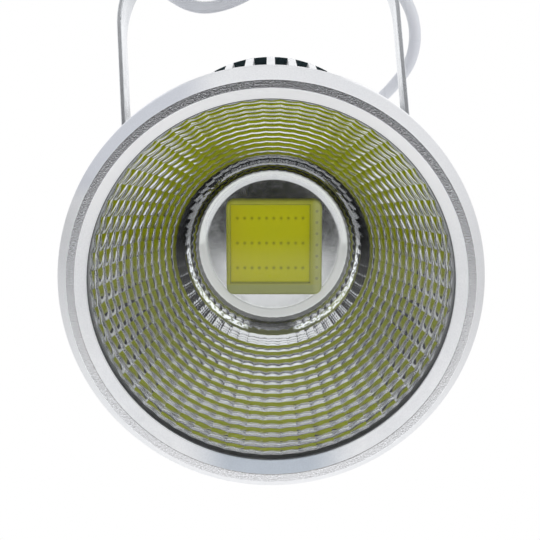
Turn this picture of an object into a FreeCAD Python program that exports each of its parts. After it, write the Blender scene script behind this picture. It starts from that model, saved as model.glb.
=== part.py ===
"""Track spotlight: a finned cylindrical LED head with a faceted reflector, held in a U-shaped yoke that swivels
under a track adapter with two turning posts.

Row frame: millimetres, +Z up, the origin on the adapter's seat face where it meets the track, on the pan axis.
The head is drawn in its own frame, with +Y along the lamp axis going from the front face (Y = 0) to the back. It is
placed so that its tilt pivot lies on the yoke's pivot, facing -Y and pointing down by the rest tilt.
"""
import FreeCAD
import Part
import Sketcher
import math
import os

Vector = FreeCAD.Vector
Placement = FreeCAD.Placement
Rotation = FreeCAD.Rotation
doc = FreeCAD.newDocument("TrackSpotlight")

# ---------------------------------------------------------------- driving dimensions
# (alias, value, note); "depth" is the distance behind the front face, along the lamp axis
DIMENSIONS = [
    # bezel
    ("bezel_r", 55.0, "outer radius of the front bezel"),
    ("bezel_len", 15.0, "bezel length along the axis"),
    ("bezel_rim_y", 5.5, "depth where the outer taper reaches full radius"),
    ("bezel_rim_end", 12.5, "depth where the full radius ends"),
    ("bezel_tail_r", 53.4, "radius of the bezel's rear edge"),
    ("bezel_flat_out", 52.1, "outer radius of the flat front ring"),
    ("bezel_flat_in", 50.5, "inner radius of the flat front ring"),
    ("aperture_r", 47.15, "radius of the aperture lip"),
    ("aperture_y", 3.0, "depth of the inner bevel"),
    ("lip_back_y", 3.4, "depth of the back of the aperture lip"),
    ("spigot_r", 49.9, "radius of the housing spigot the bezel screws on"),
    ("thread_gap", 0.05, "radial gap at the spigot"),
    # lens stack
    ("glass_r", 48.6, "radius of the glass lens"),
    ("glass_front_y", 3.6, "front face of the glass"),
    ("glass_t", 1.9, "glass thickness"),
    ("front_gasket_in_r", 46.95, "inner radius of the front gasket"),
    ("rear_gasket_in_r", 47.7, "inner radius of the rear gasket"),
    ("flange_y", 5.7, "front face of the reflector flange"),
    ("flange_t", 0.7, "flange thickness"),
    ("mouth_r", 46.8, "reflector mouth radius"),
    ("neck_r", 23.5, "radius where the neck ring begins"),
    ("neck_y", 54.6, "depth where the neck ring begins"),
    ("foot_r", 21.5, "radius of the reflector foot"),
    ("foot_y", 59.6, "depth of the reflector foot"),
    ("reflector_wall", 0.9, "reflector wall, measured radially"),
    # housing
    ("cup_r", 50.5, "outer radius of the front housing"),
    ("cup_in_r", 48.0, "inner radius of the front housing"),
    ("cup_front_y", 3.65, "front end of the spigot"),
    ("cup_shoulder_y", 15.2, "shoulder behind the bezel"),
    ("cup_floor_y", 62.0, "front of the housing floor"),
    ("cup_back_y", 65.0, "back of the housing floor"),
    ("pedestal_r", 27.0, "radius of the heat sink pedestal"),
    ("housing_screw_off", 26.87, "housing screw offset from the axis, both ways"),
    # light source
    ("plate_y", 60.0, "front face of the LED plate"),
    ("plate_t", 1.5, "LED plate thickness"),
    ("plate_r", 26.6, "LED plate radius"),
    ("plate_screw_off", 24.9, "plate screw distance from the axis"),
    ("pad_t", 0.3, "thermal pad thickness"),
    ("gel_side", 27.8, "side of the gel block"),
    ("gel_t", 2.4, "height of the gel block"),
    ("gel_corner", 2.3, "corner radius of the gel block"),
    ("gel_shift", 0.9, "offset of the gel block from the lamp's axis"),
    ("phosphor_side", 23.6, "side of the phosphor"),
    ("phosphor_t", 0.8, "height of the phosphor"),
    ("phosphor_shift", 0.25, "offset of the phosphor from the lamp's axis"),
    # heat sink
    ("fin_r", 45.3, "fin tip radius"),
    ("core_r", 31.0, "core radius"),
    ("bore_r", 27.4, "radius of the driver space"),
    ("fin_t", 3.0, "fin thickness"),
    ("fin_count", 36.0, "number of fins"),
    ("sink_plate_end", 69.0, "back of the front plate of the heat sink"),
    ("web_end", 75.0, "back of the solid web"),
    ("sink_end", 204.2, "back end of the heat sink core"),
    ("wire_hole_r", 2.2, "radius of the wire passage"),
    ("wire_off", 23.6, "wire passage distance from the axis"),
    # tilt pivot
    ("pivot_y", 138.0, "depth of the tilt pivot"),
    ("boss_r", 9.0, "pivot boss radius"),
    ("boss_x", 45.5, "pivot boss face from the axis"),
    ("pivot_hole_r", 2.5, "tapped hole radius"),
    ("pivot_hole_d", 12.0, "tapped hole depth"),
    # rear cover
    ("cover_seal_t", 0.8, "thickness of the seal in front of the rear cover"),
    ("cover_t", 3.7, "rear cover thickness"),
    ("cover_spigot_r", 27.3, "rear cover spigot radius, before its relief"),
    ("cover_screw_off", 24.6, "cover screw offset from the axis, both ways"),
    ("cover_screw_floor", 2.0, "cover thickness left under the screw heads"),
    ("gland_x", 8.0, "gland offset sideways"),
    ("gland_z", -17.5, "gland offset, negative is down"),
    ("gland_hole_r", 4.0, "gland hole radius"),
    ("cable_r", 2.25, "cable radius"),
    # yoke
    ("yoke_half", 49.0, "half of the yoke's outer width"),
    ("yoke_t", 1.5, "yoke sheet thickness"),
    ("yoke_w", 18.0, "yoke strip width"),
    ("yoke_h", 101.0, "pivot to the top of the cross bar"),
    ("yoke_bend", 36.5, "outer bend radius"),
    ("yoke_tail", 9.5, "reach of the strip ends below the pivot"),
    ("pivot_clear_r", 3.1, "hole radius for the pivot screw"),
    ("pan_hole_r", 5.06, "hole radius for the swivel stem"),
    ("tilt_washer_t", 1.2, "flat washer thickness at the pivot"),
    ("spring_washer_t", 1.4, "spring washer thickness at the pivot"),
    # swivel
    ("collar_r", 13.0, "swivel collar radius"),
    ("collar_h", 8.0, "swivel collar height"),
    ("stem_r", 5.0, "stem radius"),
    ("stem_bore_r", 3.4, "stem bore radius"),
    ("pan_washer_r", 11.5, "friction washer radius"),
    ("pan_washer_t", 1.0, "friction washer thickness"),
    ("wave_washer_t", 0.8, "wave washer thickness"),
    ("pan_nut_r", 8.2, "pan nut radius over corners"),
    ("pan_nut_t", 4.0, "pan nut thickness"),
    # adapter
    ("box_len", 124.0, "adapter length along the track"),
    ("box_w", 34.0, "adapter width"),
    ("box_h", 26.0, "adapter height below the seat"),
    ("box_wall", 2.0, "adapter wall"),
    ("box_roof", 3.0, "adapter roof thickness"),
    ("lid_t", 2.0, "bottom cover thickness"),
    ("lid_screw_inset", 5.2, "cover screw distance from the adapter's sides"),
    ("key_w", 14.4, "width of the keys in the track slot"),
    ("key_h", 3.0, "height of the keys"),
    ("key_len", 22.0, "length of the keys"),
    ("post_x", 36.0, "turning post distance from the pan axis"),
    ("post_r", 5.6, "turning post radius"),
    ("post_top", 11.0, "height of the posts above the seat"),
    ("post_gap", 0.06, "radial gap round the posts"),
    ("drum_r", 7.5, "radius of the post's drum, which carries the lever"),
    ("lever_z", -13.0, "height of the levers' centre"),
    ("lever_t", 3.0, "lever thickness"),
    ("cord_x", -48.0, "cord entry position"),
    # pose
    ("clock", 4.0, "turn of the light source and fins about the lamp axis, degrees"),
    ("rest_tilt", 24.0, "how far the head points below level at rest, degrees"),
]


class Quantity:
    """A number together with the sheet formula it comes from."""

    def __init__(self, value, text):
        self.value = float(value)
        self.text = text

    @staticmethod
    def of(number):
        return number if isinstance(number, Quantity) else Quantity(number, "%.6g" % number)

    def _join(self, sign, other, value):
        return Quantity(value, "(%s %s %s)" % (self.text, sign, other.text))

    def __add__(self, other):
        other = Quantity.of(other)
        return self._join("+", other, self.value + other.value)

    def __sub__(self, other):
        other = Quantity.of(other)
        return self._join("-", other, self.value - other.value)

    def __mul__(self, other):
        other = Quantity.of(other)
        return self._join("*", other, self.value * other.value)

    def __truediv__(self, other):
        other = Quantity.of(other)
        return self._join("/", other, self.value / other.value)

    def __radd__(self, other):
        return Quantity.of(other) + self

    def __rsub__(self, other):
        return Quantity.of(other) - self

    def __rmul__(self, other):
        return Quantity.of(other) * self

    def __neg__(self):
        return 0 - self

    def __float__(self):
        return self.value


class Dims:
    """Holds one Quantity for each alias of the sheet."""


dims = Dims()
sheet = doc.addObject("Spreadsheet::Sheet", "Dims")
for row, (alias, value, note) in enumerate(DIMENSIONS, start=1):
    sheet.set("A%d" % row, alias)
    sheet.set("B%d" % row, "%.6g" % value)
    sheet.set("C%d" % row, note)
    sheet.setAlias("B%d" % row, alias)
    setattr(dims, alias, Quantity(value, "Dims." + alias))
doc.recompute()

# ---------------------------------------------------------------- derived places
# head, depths along the lamp axis
glass_back_y = dims.glass_front_y + dims.glass_t
flange_back_y = dims.flange_y + dims.flange_t
plate_back_y = dims.plate_y + dims.plate_t
sink_front_y = plate_back_y + dims.pad_t
sleeve_y = dims.web_end + 2
sleeve_end_y = dims.sink_end - 16
cover_y = dims.sink_end + dims.cover_seal_t
cover_back_y = cover_y + dims.cover_t
cover_screw_seat_y = cover_y + dims.cover_screw_floor

# row frame, heights from the adapter's underside down to the pivot
adapter_bottom = -dims.box_h
lid_top = adapter_bottom + dims.lid_t
collar_bottom = adapter_bottom - dims.collar_h
bar_top = collar_bottom - dims.pan_washer_t
bar_bottom = bar_top - dims.yoke_t
pan_nut_top = bar_bottom - dims.wave_washer_t
pan_nut_bottom = pan_nut_top - dims.pan_nut_t
pivot_z = bar_top - dims.yoke_h

# tilt pivot hardware, outwards from the yoke arm
FIT_GAP = 0.02
arm_inner_x = dims.yoke_half - dims.yoke_t
tilt_washer_x = dims.yoke_half + FIT_GAP
spring_washer_x = tilt_washer_x + dims.tilt_washer_t
tilt_head_x = spring_washer_x + dims.spring_washer_t

# adapter
box_half_len = dims.box_len / 2
box_half_w = dims.box_w / 2
lid_screw_x = box_half_len - dims.lid_screw_inset
lid_screw_y = box_half_w - dims.lid_screw_inset

SIDES = (1, -1)
CORNERS = ((1, 1), (-1, 1), (-1, -1), (1, -1))


# ---------------------------------------------------------------- sketches
def bind(obj, prop, size):
    if isinstance(size, Quantity):
        obj.setExpression(prop, size.text)


def new_body(label, many=False):
    """A body; many allows it to hold separate solids."""
    body = doc.addObject("PartDesign::Body", label)
    body.Label = label
    if many:
        body.AllowCompound = True
    return body


def origin_feature(body, role):
    return next(f for f in body.Origin.OriginFeatures if f.Role == role)


def pin(sketch, geometry, point, x, y):
    """Ties a point to the sketch's origin, each distance bound to the sheet."""
    for kind, axis, place in (("DistanceX", -2, x), ("DistanceY", -1, y)):
        value = float(place)
        if abs(value) < 1e-9:
            sketch.addConstraint(Sketcher.Constraint("PointOnObject", geometry, point, axis))
            continue
        if value > 0:
            size = place
            ends = (-1, 1, geometry, point)
        else:
            size = -place
            ends = (geometry, point, -1, 1)
        number = sketch.addConstraint(Sketcher.Constraint(kind, *ends, float(size)))
        bind(sketch, "Constraints[%d]" % number, size)


def set_radius(sketch, geometry, radius):
    number = sketch.addConstraint(Sketcher.Constraint("Radius", geometry, float(radius)))
    bind(sketch, "Constraints[%d]" % number, radius)


def flat_circle(x, y, radius):
    return Part.Circle(Vector(float(x), float(y), 0), Vector(0, 0, 1), float(radius))


def loose_line(sketch, start, end, construction=False):
    ends = [Vector(float(x), float(y), 0) for x, y in (start, end)]
    return sketch.addGeometry(Part.LineSegment(*ends), construction)


def add_line(sketch, start, end, construction=False):
    line = loose_line(sketch, start, end, construction)
    pin(sketch, line, 1, *start)
    pin(sketch, line, 2, *end)
    return line


def add_arc(sketch, x, y, radius, angle, start, end):
    """Quarter arc from the given angle in degrees, joined to two (line, point) ends."""
    arc = sketch.addGeometry(Part.ArcOfCircle(
        flat_circle(x, y, radius), math.radians(angle), math.radians(angle + 90)), False)
    sketch.addConstraint(Sketcher.Constraint("Coincident", arc, 1, *start))
    sketch.addConstraint(Sketcher.Constraint("Coincident", arc, 2, *end))
    set_radius(sketch, arc, radius)


def add_loop(sketch, points):
    first = sketch.GeometryCount
    count = len(points)
    for i in range(count):
        loose_line(sketch, points[i], points[(i + 1) % count])
    for i in range(count):
        following = first + (i + 1) % count
        sketch.addConstraint(Sketcher.Constraint("Coincident", first + i, 2, following, 1))
    for i, (x, y) in enumerate(points):
        pin(sketch, first + i, 1, x, y)


def add_circle(sketch, x, y, radius):
    circle = sketch.addGeometry(flat_circle(x, y, radius), False)
    pin(sketch, circle, 3, x, y)
    set_radius(sketch, circle, radius)


def add_rounded_square(sketch, side, corner, centre_x, centre_y):
    """A square with rounded corners, as four lines and four arcs, anticlockwise from below."""
    half = side / 2
    flat = half - corner
    lines = [
        add_line(sketch, (x0 + centre_x, y0 + centre_y), (x1 + centre_x, y1 + centre_y))
        for x0, y0, x1, y1 in (
            (-flat, -half, flat, -half), (half, -flat, half, flat),
            (flat, half, -flat, half), (-half, flat, -half, -flat))]
    for k, (sign_x, sign_y) in enumerate(((1, -1), (1, 1), (-1, 1), (-1, -1))):
        add_arc(sketch, flat * sign_x + centre_x, flat * sign_y + centre_y, corner,
                -90 + 90 * k, (lines[k], 2), (lines[(k + 1) % 4], 1))


def draw(body, name, plane="XY_Plane", offset=0.0, turn=0.0, loops=(), circles=()):
    """A sketch on an origin plane, moved along its normal and turned about it.

    The normal of XY_Plane is +Z, of YZ_Plane +X and of XZ_Plane -Y.
    """
    sketch = body.newObject("Sketcher::SketchObject", name)
    sketch.AttachmentSupport = (origin_feature(body, plane), [""])
    sketch.MapMode = "FlatFace"
    sketch.AttachmentOffset = Placement(
        Vector(0, 0, float(offset)), Rotation(Vector(0, 0, 1), float(turn)))
    bind(sketch, "AttachmentOffset.Base.z", offset)
    bind(sketch, "AttachmentOffset.Rotation.Angle", turn)
    for points in loops:
        add_loop(sketch, points)
    for circle in circles:
        add_circle(sketch, *circle)
    return sketch


def box_points(x0, x1, y0, y1):
    return [(x0, y0), (x1, y0), (x1, y1), (x0, y1)]


def hexagon(centre_x, centre_y, radius):
    """Corners of a hexagon whose corner radius is given."""
    angles = [math.radians(60 * k) for k in range(6)]
    return [(centre_x + radius * round(math.cos(angle), 6),
             centre_y + radius * round(math.sin(angle), 6)) for angle in angles]


def shifted(points, x, y):
    return [(point_x + x, point_y + y) for point_x, point_y in points]


def corner_circles(x, y, radius):
    """Four circles placed symmetrically about the sketch's origin."""
    return [(x * sign_x, y * sign_y, radius) for sign_x, sign_y in CORNERS]


# ---------------------------------------------------------------- features
def extrude(kind, body, sketch, name, length, reverse=False, midplane=False):
    feature = body.newObject("PartDesign::" + kind, name)
    feature.Profile = sketch
    feature.Length = float(length)
    bind(feature, "Length", length)
    feature.Reversed = reverse
    feature.Midplane = midplane
    return feature


def pad(*args, **options):
    """Adds material along the sketch's normal."""
    return extrude("Pad", *args, **options)


def pocket(*args, **options):
    """Cuts against the sketch's normal."""
    return extrude("Pocket", *args, **options)


def revolve(body, sketch, name, axis="V_Axis", kind="Revolution"):
    feature = body.newObject("PartDesign::" + kind, name)
    feature.Profile = sketch
    feature.ReferenceAxis = (sketch, [axis])
    feature.Angle = 360
    return feature


def revolve_about(body, sketch_name, name, axis_x, points, plane="XY_Plane", offset=0.0):
    """Turns a profile about an upright construction line as long as the profile."""
    sketch = draw(body, sketch_name, plane, offset)
    add_line(sketch, (axis_x, points[0][1]), (axis_x, points[-1][1]), construction=True)
    add_loop(sketch, points)
    return revolve(body, sketch, name, "Axis0")


def polar(body, features, name, count):
    """Repeats features round the lamp axis."""
    feature = body.newObject("PartDesign::PolarPattern", name)
    feature.Originals = features
    feature.Axis = (origin_feature(body, "Y_Axis"), [""])
    feature.Angle = 360
    feature.Occurrences = int(round(float(count)))
    bind(feature, "Occurrences", count)
    body.Tip = feature


def mirror(body, features, name):
    """Repeats features on the other side of X = 0."""
    feature = body.newObject("PartDesign::Mirrored", name)
    feature.Originals = features
    feature.MirrorPlane = (origin_feature(body, "YZ_Plane"), [""])
    body.Tip = feature


def dress(body, kind, size_property, name, size, test):
    """Fillet or chamfer on every edge of the tip that passes the test."""
    doc.recompute()
    base = body.Tip
    names = ["Edge%d" % i for i, edge in enumerate(base.Shape.Edges, start=1) if test(edge)]
    if not names:
        raise RuntimeError("no edges for " + name)
    feature = body.newObject("PartDesign::" + kind, name)
    feature.Base = (base, names)
    setattr(feature, size_property, size)


def fillet(body, name, radius, test):
    dress(body, "Fillet", "Radius", name, radius, test)


def chamfer(body, name, size, test):
    dress(body, "Chamfer", "Size", name, size, test)


def ring_edge(*rings):
    """True for a circle about the lamp axis that matches one of the (radius, depth) rings."""
    tolerance = 0.02

    def test(edge):
        curve = edge.Curve
        return (isinstance(curve, Part.Circle)
                and abs(curve.Center.x) < tolerance and abs(curve.Center.z) < tolerance
                and any(abs(curve.Radius - float(radius)) < tolerance
                        and abs(curve.Center.y - float(depth)) < tolerance
                        for radius, depth in rings))
    return test


def upright_edge(height):
    return lambda edge: abs(edge.BoundBox.ZLength - float(height)) < 0.01


def turned(label, points, plane="XY_Plane"):
    """A body turned from (radius, place) points: about Y on XY_Plane, about Z on XZ_Plane."""
    body = new_body(label)
    revolve(body, draw(body, label + "_profile", plane, loops=[points]), label + "_turn")
    return body


def ring(label, inner_r, outer_r, start, end, plane="XY_Plane"):
    return turned(label, box_points(inner_r, outer_r, start, end), plane)


# ---------------------------------------------------------------- placements
parts = []
pivot = Vector(0, 0, float(pivot_z))
tilt = Rotation(Vector(1, 0, 0), float(dims.rest_tilt))
head_place = Placement(pivot - tilt.multVec(Vector(0, float(dims.pivot_y), 0)), tilt)


def head_turned(angle):
    """The head's placement, turned further about the lamp axis."""
    return head_place.multiply(Placement(Vector(0, 0, 0), Rotation(Vector(0, 1, 0), angle)))


clock_place = head_turned(float(dims.clock))
diagonal_place = head_turned(45)
gland_place = head_place.multiply(
    Placement(Vector(float(dims.gland_x), 0, float(dims.gland_z)), Rotation()))


def place(obj, placement=Placement()):
    """Sets a piece in the row frame and lists it for export."""
    obj.Placement = placement
    parts.append(obj)


def place_in_head(obj):
    place(obj, head_place)
    obj.setExpression("Placement.Rotation.Angle", "Dims.rest_tilt")
    obj.setExpression("Placement.Base.y", "(0 - Dims.pivot_y * cos(Dims.rest_tilt * 1deg))")
    obj.setExpression("Placement.Base.z",
                      pivot_z.text + " - Dims.pivot_y * sin(Dims.rest_tilt * 1deg)")


def place_on_yoke(obj):
    place(obj, Placement(pivot, Rotation()))
    bind(obj, "Placement.Base.z", pivot_z)


def new_feature(label, shape):
    obj = doc.addObject("Part::Feature", label)
    obj.Label = label
    obj.Shape = shape
    return obj


def sweep(edges, start, direction, radius):
    """A round bar along joined edges."""
    circle = Part.Wire([Part.Circle(start, direction, radius).toShape()])
    return Part.Wire(edges).makePipeShell([circle], True, True)


# ================================================================ HEAD: front end
def front_bezel():
    """Flat ring, inner bevel to the aperture lip, outer taper, short cylinder, rear taper."""
    bore_r = dims.spigot_r + dims.thread_gap
    body = turned("front_bezel", [
        (dims.bezel_flat_in, 0), (dims.bezel_flat_out, 0),
        (dims.bezel_r, dims.bezel_rim_y), (dims.bezel_r, dims.bezel_rim_end),
        (dims.bezel_tail_r, dims.bezel_len), (bore_r, dims.bezel_len),
        (bore_r, dims.lip_back_y), (dims.aperture_r, dims.lip_back_y),
        (dims.aperture_r, dims.aperture_y)])
    fillet(body, "bezel_soft_edges", radius=0.35,
           test=ring_edge((dims.bezel_flat_in, 0), (dims.bezel_flat_out, 0)))
    fillet(body, "bezel_shoulder", radius=1.6, test=ring_edge((dims.bezel_r, dims.bezel_rim_y)))
    fillet(body, "bezel_back_edge", radius=0.6,
           test=ring_edge((dims.bezel_r, dims.bezel_rim_end)))
    fillet(body, "bezel_lip_edge", radius=0.25,
           test=ring_edge((dims.aperture_r, dims.aperture_y)))
    place_in_head(body)


def front_gasket():
    """Flat ring between the lip and the glass."""
    place_in_head(ring("front_gasket", dims.front_gasket_in_r, dims.glass_r,
                       dims.lip_back_y, dims.glass_front_y))


def glass_lens():
    body = ring("glass_lens", 0, dims.glass_r, dims.glass_front_y, glass_back_y)
    chamfer(body, "glass_arris", size=0.3,
            test=ring_edge((dims.glass_r, dims.glass_front_y), (dims.glass_r, glass_back_y)))
    place_in_head(body)


def rear_gasket():
    """Flat ring between the glass and the reflector flange."""
    place_in_head(ring("rear_gasket", dims.rear_gasket_in_r, dims.glass_r,
                       glass_back_y, dims.flange_y))


def reflector():
    """Faceted shell with a flange at the mouth and a plain ring at the neck.

    It follows a parabola: the squared radius falls evenly with depth, from mouth to neck.
    """
    facets = 8
    mouth, neck = float(dims.mouth_r), float(dims.neck_r)
    inner = []
    for i in range(facets + 1):
        depth_share = i / facets
        radius = math.sqrt(mouth ** 2 + (neck ** 2 - mouth ** 2) * depth_share)
        radius_share = round((mouth - radius) / (mouth - neck), 6)
        inner.append((dims.mouth_r - (dims.mouth_r - dims.neck_r) * radius_share,
                      dims.flange_y + (dims.neck_y - dims.flange_y) * depth_share))
    inner.append((dims.foot_r, dims.foot_y))
    outer = [(r + dims.reflector_wall, y) for r, y in inner]
    outer[0] = (outer[0][0], flange_back_y)
    place_in_head(turned("reflector", [(dims.glass_r, dims.flange_y)] + inner
                         + outer[::-1] + [(dims.glass_r, flange_back_y)]))


def front_housing():
    """Cup with a bezel spigot, a seat for the reflector flange and an opening in the floor."""
    seat_r = dims.glass_r + 0.1
    opening_r = dims.pedestal_r + 0.1
    groove_depth = 0.8
    groove_width = 1.4
    body = turned("front_housing", [
        (seat_r, dims.cup_front_y), (dims.spigot_r, dims.cup_front_y),
        (dims.spigot_r, dims.cup_shoulder_y), (dims.cup_r, dims.cup_shoulder_y),
        (dims.cup_r, dims.cup_back_y), (opening_r, dims.cup_back_y),
        (opening_r, dims.cup_floor_y), (dims.cup_in_r, dims.cup_floor_y),
        (dims.cup_in_r, flange_back_y), (seat_r, flange_back_y)])
    # two grooves round the outside; the distances are from the housing's back
    grooves = [
        box_points(dims.cup_r - groove_depth, dims.cup_r + 1,
                   dims.cup_back_y - distance, dims.cup_back_y - distance + groove_width)
        for distance in (8, 12)]
    revolve(body, draw(body, "housing_groove_profile", loops=grooves), "housing_grooves",
            kind="Groove")
    holes = draw(body, "housing_hole_profile", "XZ_Plane", -dims.cup_floor_y + 1,
                 circles=corner_circles(dims.housing_screw_off, dims.housing_screw_off, 2.1))
    pocket(body, holes, "housing_holes", 6)
    fillet(body, "housing_back_round", radius=2.0, test=ring_edge((dims.cup_r, dims.cup_back_y)))
    place_in_head(body)


# ================================================================ HEAD: light source
PHOSPHOR_CORNER = 1.0


def led_plate():
    """Plate that carries the light source, with two screw holes and two wire holes."""
    body = ring("led_plate", 0, dims.plate_r, dims.plate_y, plate_back_y)
    circles = []
    for side in SIDES:
        circles += [(dims.plate_screw_off * side, 0, 1.1), (0, dims.wire_off * side, 1.7)]
    holes = draw(body, "plate_hole_profile", "XZ_Plane", -dims.plate_y + 1, circles=circles)
    pocket(body, holes, "plate_holes", 4)
    place(body, clock_place)


def led_phosphor():
    """Phosphor layer in front of the plate, almost on the axis."""
    body = new_body("led_phosphor")
    outline = draw(body, "phosphor_outline", "XZ_Plane", -dims.plate_y)
    add_rounded_square(outline, dims.phosphor_side, PHOSPHOR_CORNER,
                       -dims.phosphor_shift, dims.phosphor_shift)
    pad(body, outline, "phosphor_pad", dims.phosphor_t)
    place(body, clock_place)


def led_gel():
    """Clear block set a little to one side, hollow where the phosphor sits."""
    front_y = float(dims.plate_y - dims.gel_t)
    body = new_body("led_gel")
    outline = draw(body, "gel_outline", "XZ_Plane", -dims.plate_y)
    add_rounded_square(outline, dims.gel_side, dims.gel_corner, dims.gel_shift, -dims.gel_shift)
    pad(body, outline, "gel_pad", dims.gel_t)
    hollow = draw(body, "gel_hollow_outline", "XZ_Plane", -dims.plate_y)
    add_rounded_square(hollow, dims.phosphor_side + 0.02, PHOSPHOR_CORNER,
                       -dims.phosphor_shift, dims.phosphor_shift)
    pocket(body, hollow, "gel_hollow", dims.phosphor_t + 0.01, reverse=True)
    fillet(body, "gel_top_round", radius=0.7, test=lambda edge: all(
        abs(v.Point.y - front_y) < 0.01 for v in edge.Vertexes) and edge.Length > 0.5)
    place(body, clock_place)


def thermal_pad():
    """Disc behind the plate."""
    place_in_head(ring("thermal_pad", 0, 22.0, plate_back_y, sink_front_y))


def led_screws():
    """Two screws that hold the plate."""
    # (radius, depth behind the plate's front)
    profile = [(0, -1.0), (1.2, -1.0), (1.6, 0), (0.98, 0), (0.98, 7.0), (0, 7.0)]
    body = new_body("led_screws", many=True)
    screw = revolve_about(body, "led_screw_profile", "led_screw", dims.plate_screw_off,
                          shifted(profile, dims.plate_screw_off, dims.plate_y))
    polar(body, [screw], "led_screw_pair", 2)
    place(body, clock_place)


# ================================================================ HEAD: heat sink
def heat_sink():
    body = turned("heat_sink", [
        (0, sink_front_y), (dims.pedestal_r, sink_front_y), (dims.pedestal_r, dims.cup_back_y),
        (dims.fin_r, dims.cup_back_y), (dims.fin_r, dims.sink_plate_end),
        (dims.core_r, dims.sink_plate_end), (dims.core_r, dims.sink_end),
        (dims.bore_r, dims.sink_end), (dims.bore_r, dims.web_end), (0, dims.web_end)])
    add_fins(body)
    add_pivot_bosses(body)
    cut_front_passages(body)
    add_rear_bosses(body)
    place_in_head(body)


def add_fins(body):
    """Fins sunk a little into the core and the front plate, reaching back to the cover."""
    sink_in = 0.5
    outline = draw(
        body, "fin_profile", "XZ_Plane", -dims.sink_plate_end + sink_in, -dims.clock,
        loops=[box_points(-dims.fin_t / 2, dims.fin_t / 2, dims.core_r - 1.2, dims.fin_r - 0.02)])
    fin = pad(body, outline, "fin", cover_y - dims.sink_plate_end + sink_in, reverse=True)
    polar(body, [fin], "fins", dims.fin_count)


def add_pivot_bosses(body):
    """A boss with a tapped hole on each side, from just outside the bore."""
    root_x = dims.bore_r + 2
    outline = draw(body, "boss_profile", "YZ_Plane", root_x,
                   circles=[(dims.pivot_y, 0, dims.boss_r)])
    boss = pad(body, outline, "boss", dims.boss_x - root_x)
    mirror(body, [boss], "bosses")
    outline = draw(body, "boss_hole_profile", "YZ_Plane", dims.boss_x + 1,
                   circles=[(dims.pivot_y, 0, dims.pivot_hole_r)])
    hole = pocket(body, outline, "boss_hole", dims.pivot_hole_d + 1)
    mirror(body, [hole], "boss_holes")


def cut_front_passages(body):
    """Wire passages through the web, tapped holes for the plate and the housing."""
    start = -sink_front_y + 1
    wires = draw(body, "wire_hole_profile", "XZ_Plane", start, -dims.clock,
                 circles=[(0, dims.wire_off * side, dims.wire_hole_r) for side in SIDES])
    pocket(body, wires, "wire_holes", 20)
    taps = draw(body, "plate_tap_profile", "XZ_Plane", start, -dims.clock,
                circles=[(dims.plate_screw_off * side, 0, 1.0) for side in SIDES])
    pocket(body, taps, "plate_taps", 8)
    taps = draw(body, "housing_tap_profile", "XZ_Plane", -dims.cup_back_y,
                circles=corner_circles(dims.housing_screw_off, dims.housing_screw_off, 2.0))
    pocket(body, taps, "housing_taps", 3.6)


def add_rear_bosses(body):
    """Four bosses on the core's rear end, tapped for the rear cover."""
    outline = draw(body, "rear_boss_profile", "XZ_Plane", -cover_y,
                   circles=corner_circles(dims.cover_screw_off, dims.cover_screw_off, 4.2))
    pad(body, outline, "rear_bosses", 16.0)
    taps = draw(body, "rear_tap_profile", "XZ_Plane", -cover_y,
                circles=corner_circles(dims.cover_screw_off, dims.cover_screw_off, 1.7))
    pocket(body, taps, "rear_taps", 13.0, reverse=True)


def housing_screws():
    """Four screws that hold the housing to the heat sink, drawn on X and turned by 45 degrees."""
    screw_ring_r = dims.housing_screw_off * math.sqrt(2)
    tip = dims.cup_back_y - dims.cup_floor_y + 3.4
    # (radius, depth behind the front of the housing floor)
    profile = [(0, -2.2), (3.2, -2.2), (3.6, 0), (1.98, 0), (1.98, tip), (0, tip)]
    body = new_body("housing_screws", many=True)
    screw = revolve_about(body, "housing_screw_profile", "housing_screw", screw_ring_r,
                          shifted(profile, screw_ring_r, dims.cup_floor_y))
    polar(body, [screw], "housing_screw_set", 4)
    place(body, diagonal_place)


# ================================================================ HEAD: driver
BOARD_Z = -9
BOARD_T = 1.6
BOARD_TOP = BOARD_Z + BOARD_T


def driver_sleeve():
    """Cup that lines the driver space, with a faint step in the middle of its floor."""
    outer_r = dims.bore_r - 0.3
    inner_r = dims.bore_r - 1.5
    floor_y = sleeve_y + 1.2
    step_r = 3.4
    step_y = sleeve_y + 1.21
    place_in_head(turned("driver_sleeve", [
        (0, sleeve_y), (outer_r, sleeve_y), (outer_r, sleeve_end_y), (inner_r, sleeve_end_y),
        (inner_r, floor_y), (step_r, floor_y), (step_r, step_y), (0, step_y)]))


def driver_board():
    half_width = 21.5
    body = new_body("driver_board")
    outline = draw(body, "board_outline", "XY_Plane", BOARD_Z, loops=[
        box_points(-half_width, half_width, sleeve_y + 4, sleeve_end_y - 12)])
    pad(body, outline, "board_pad", BOARD_T)
    place_in_head(body)


def driver_transformer():
    """Block with a notch along each side."""
    half_width = 11
    body = new_body("driver_transformer")
    outline = draw(body, "core_outline", "XY_Plane", BOARD_TOP, loops=[
        box_points(-half_width, half_width, dims.web_end + 40, dims.web_end + 62)])
    pad(body, outline, "core_pad", 20)
    notches = draw(body, "window_outline", "XZ_Plane", -dims.web_end - 38, loops=[
        box_points(8 * side, (half_width + 0.5) * side, -2.6, 7.8) for side in SIDES])
    pocket(body, notches, "window", 30)
    place_in_head(body)


def driver_capacitors():
    # (x, distance behind the web, radius)
    cans = [(-10, 22, 6.3), (9, 20, 5.0), (-8.5, 80, 5.0), (8.5, 78, 6.3)]
    body = new_body("driver_capacitors", many=True)
    outline = draw(body, "can_outline", "XY_Plane", BOARD_TOP,
                   circles=[(x, dims.web_end + y, radius) for x, y, radius in cans])
    pad(body, outline, "cans", 21)
    place_in_head(body)


def driver_choke():
    centre_y = dims.web_end + 96
    body = new_body("driver_choke")
    outline = draw(body, "choke_profile", "XY_Plane", BOARD_TOP,
                   circles=[(0, centre_y, 8), (0, centre_y, 3.6)])
    pad(body, outline, "choke_ring", 8)
    place_in_head(body)


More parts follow.
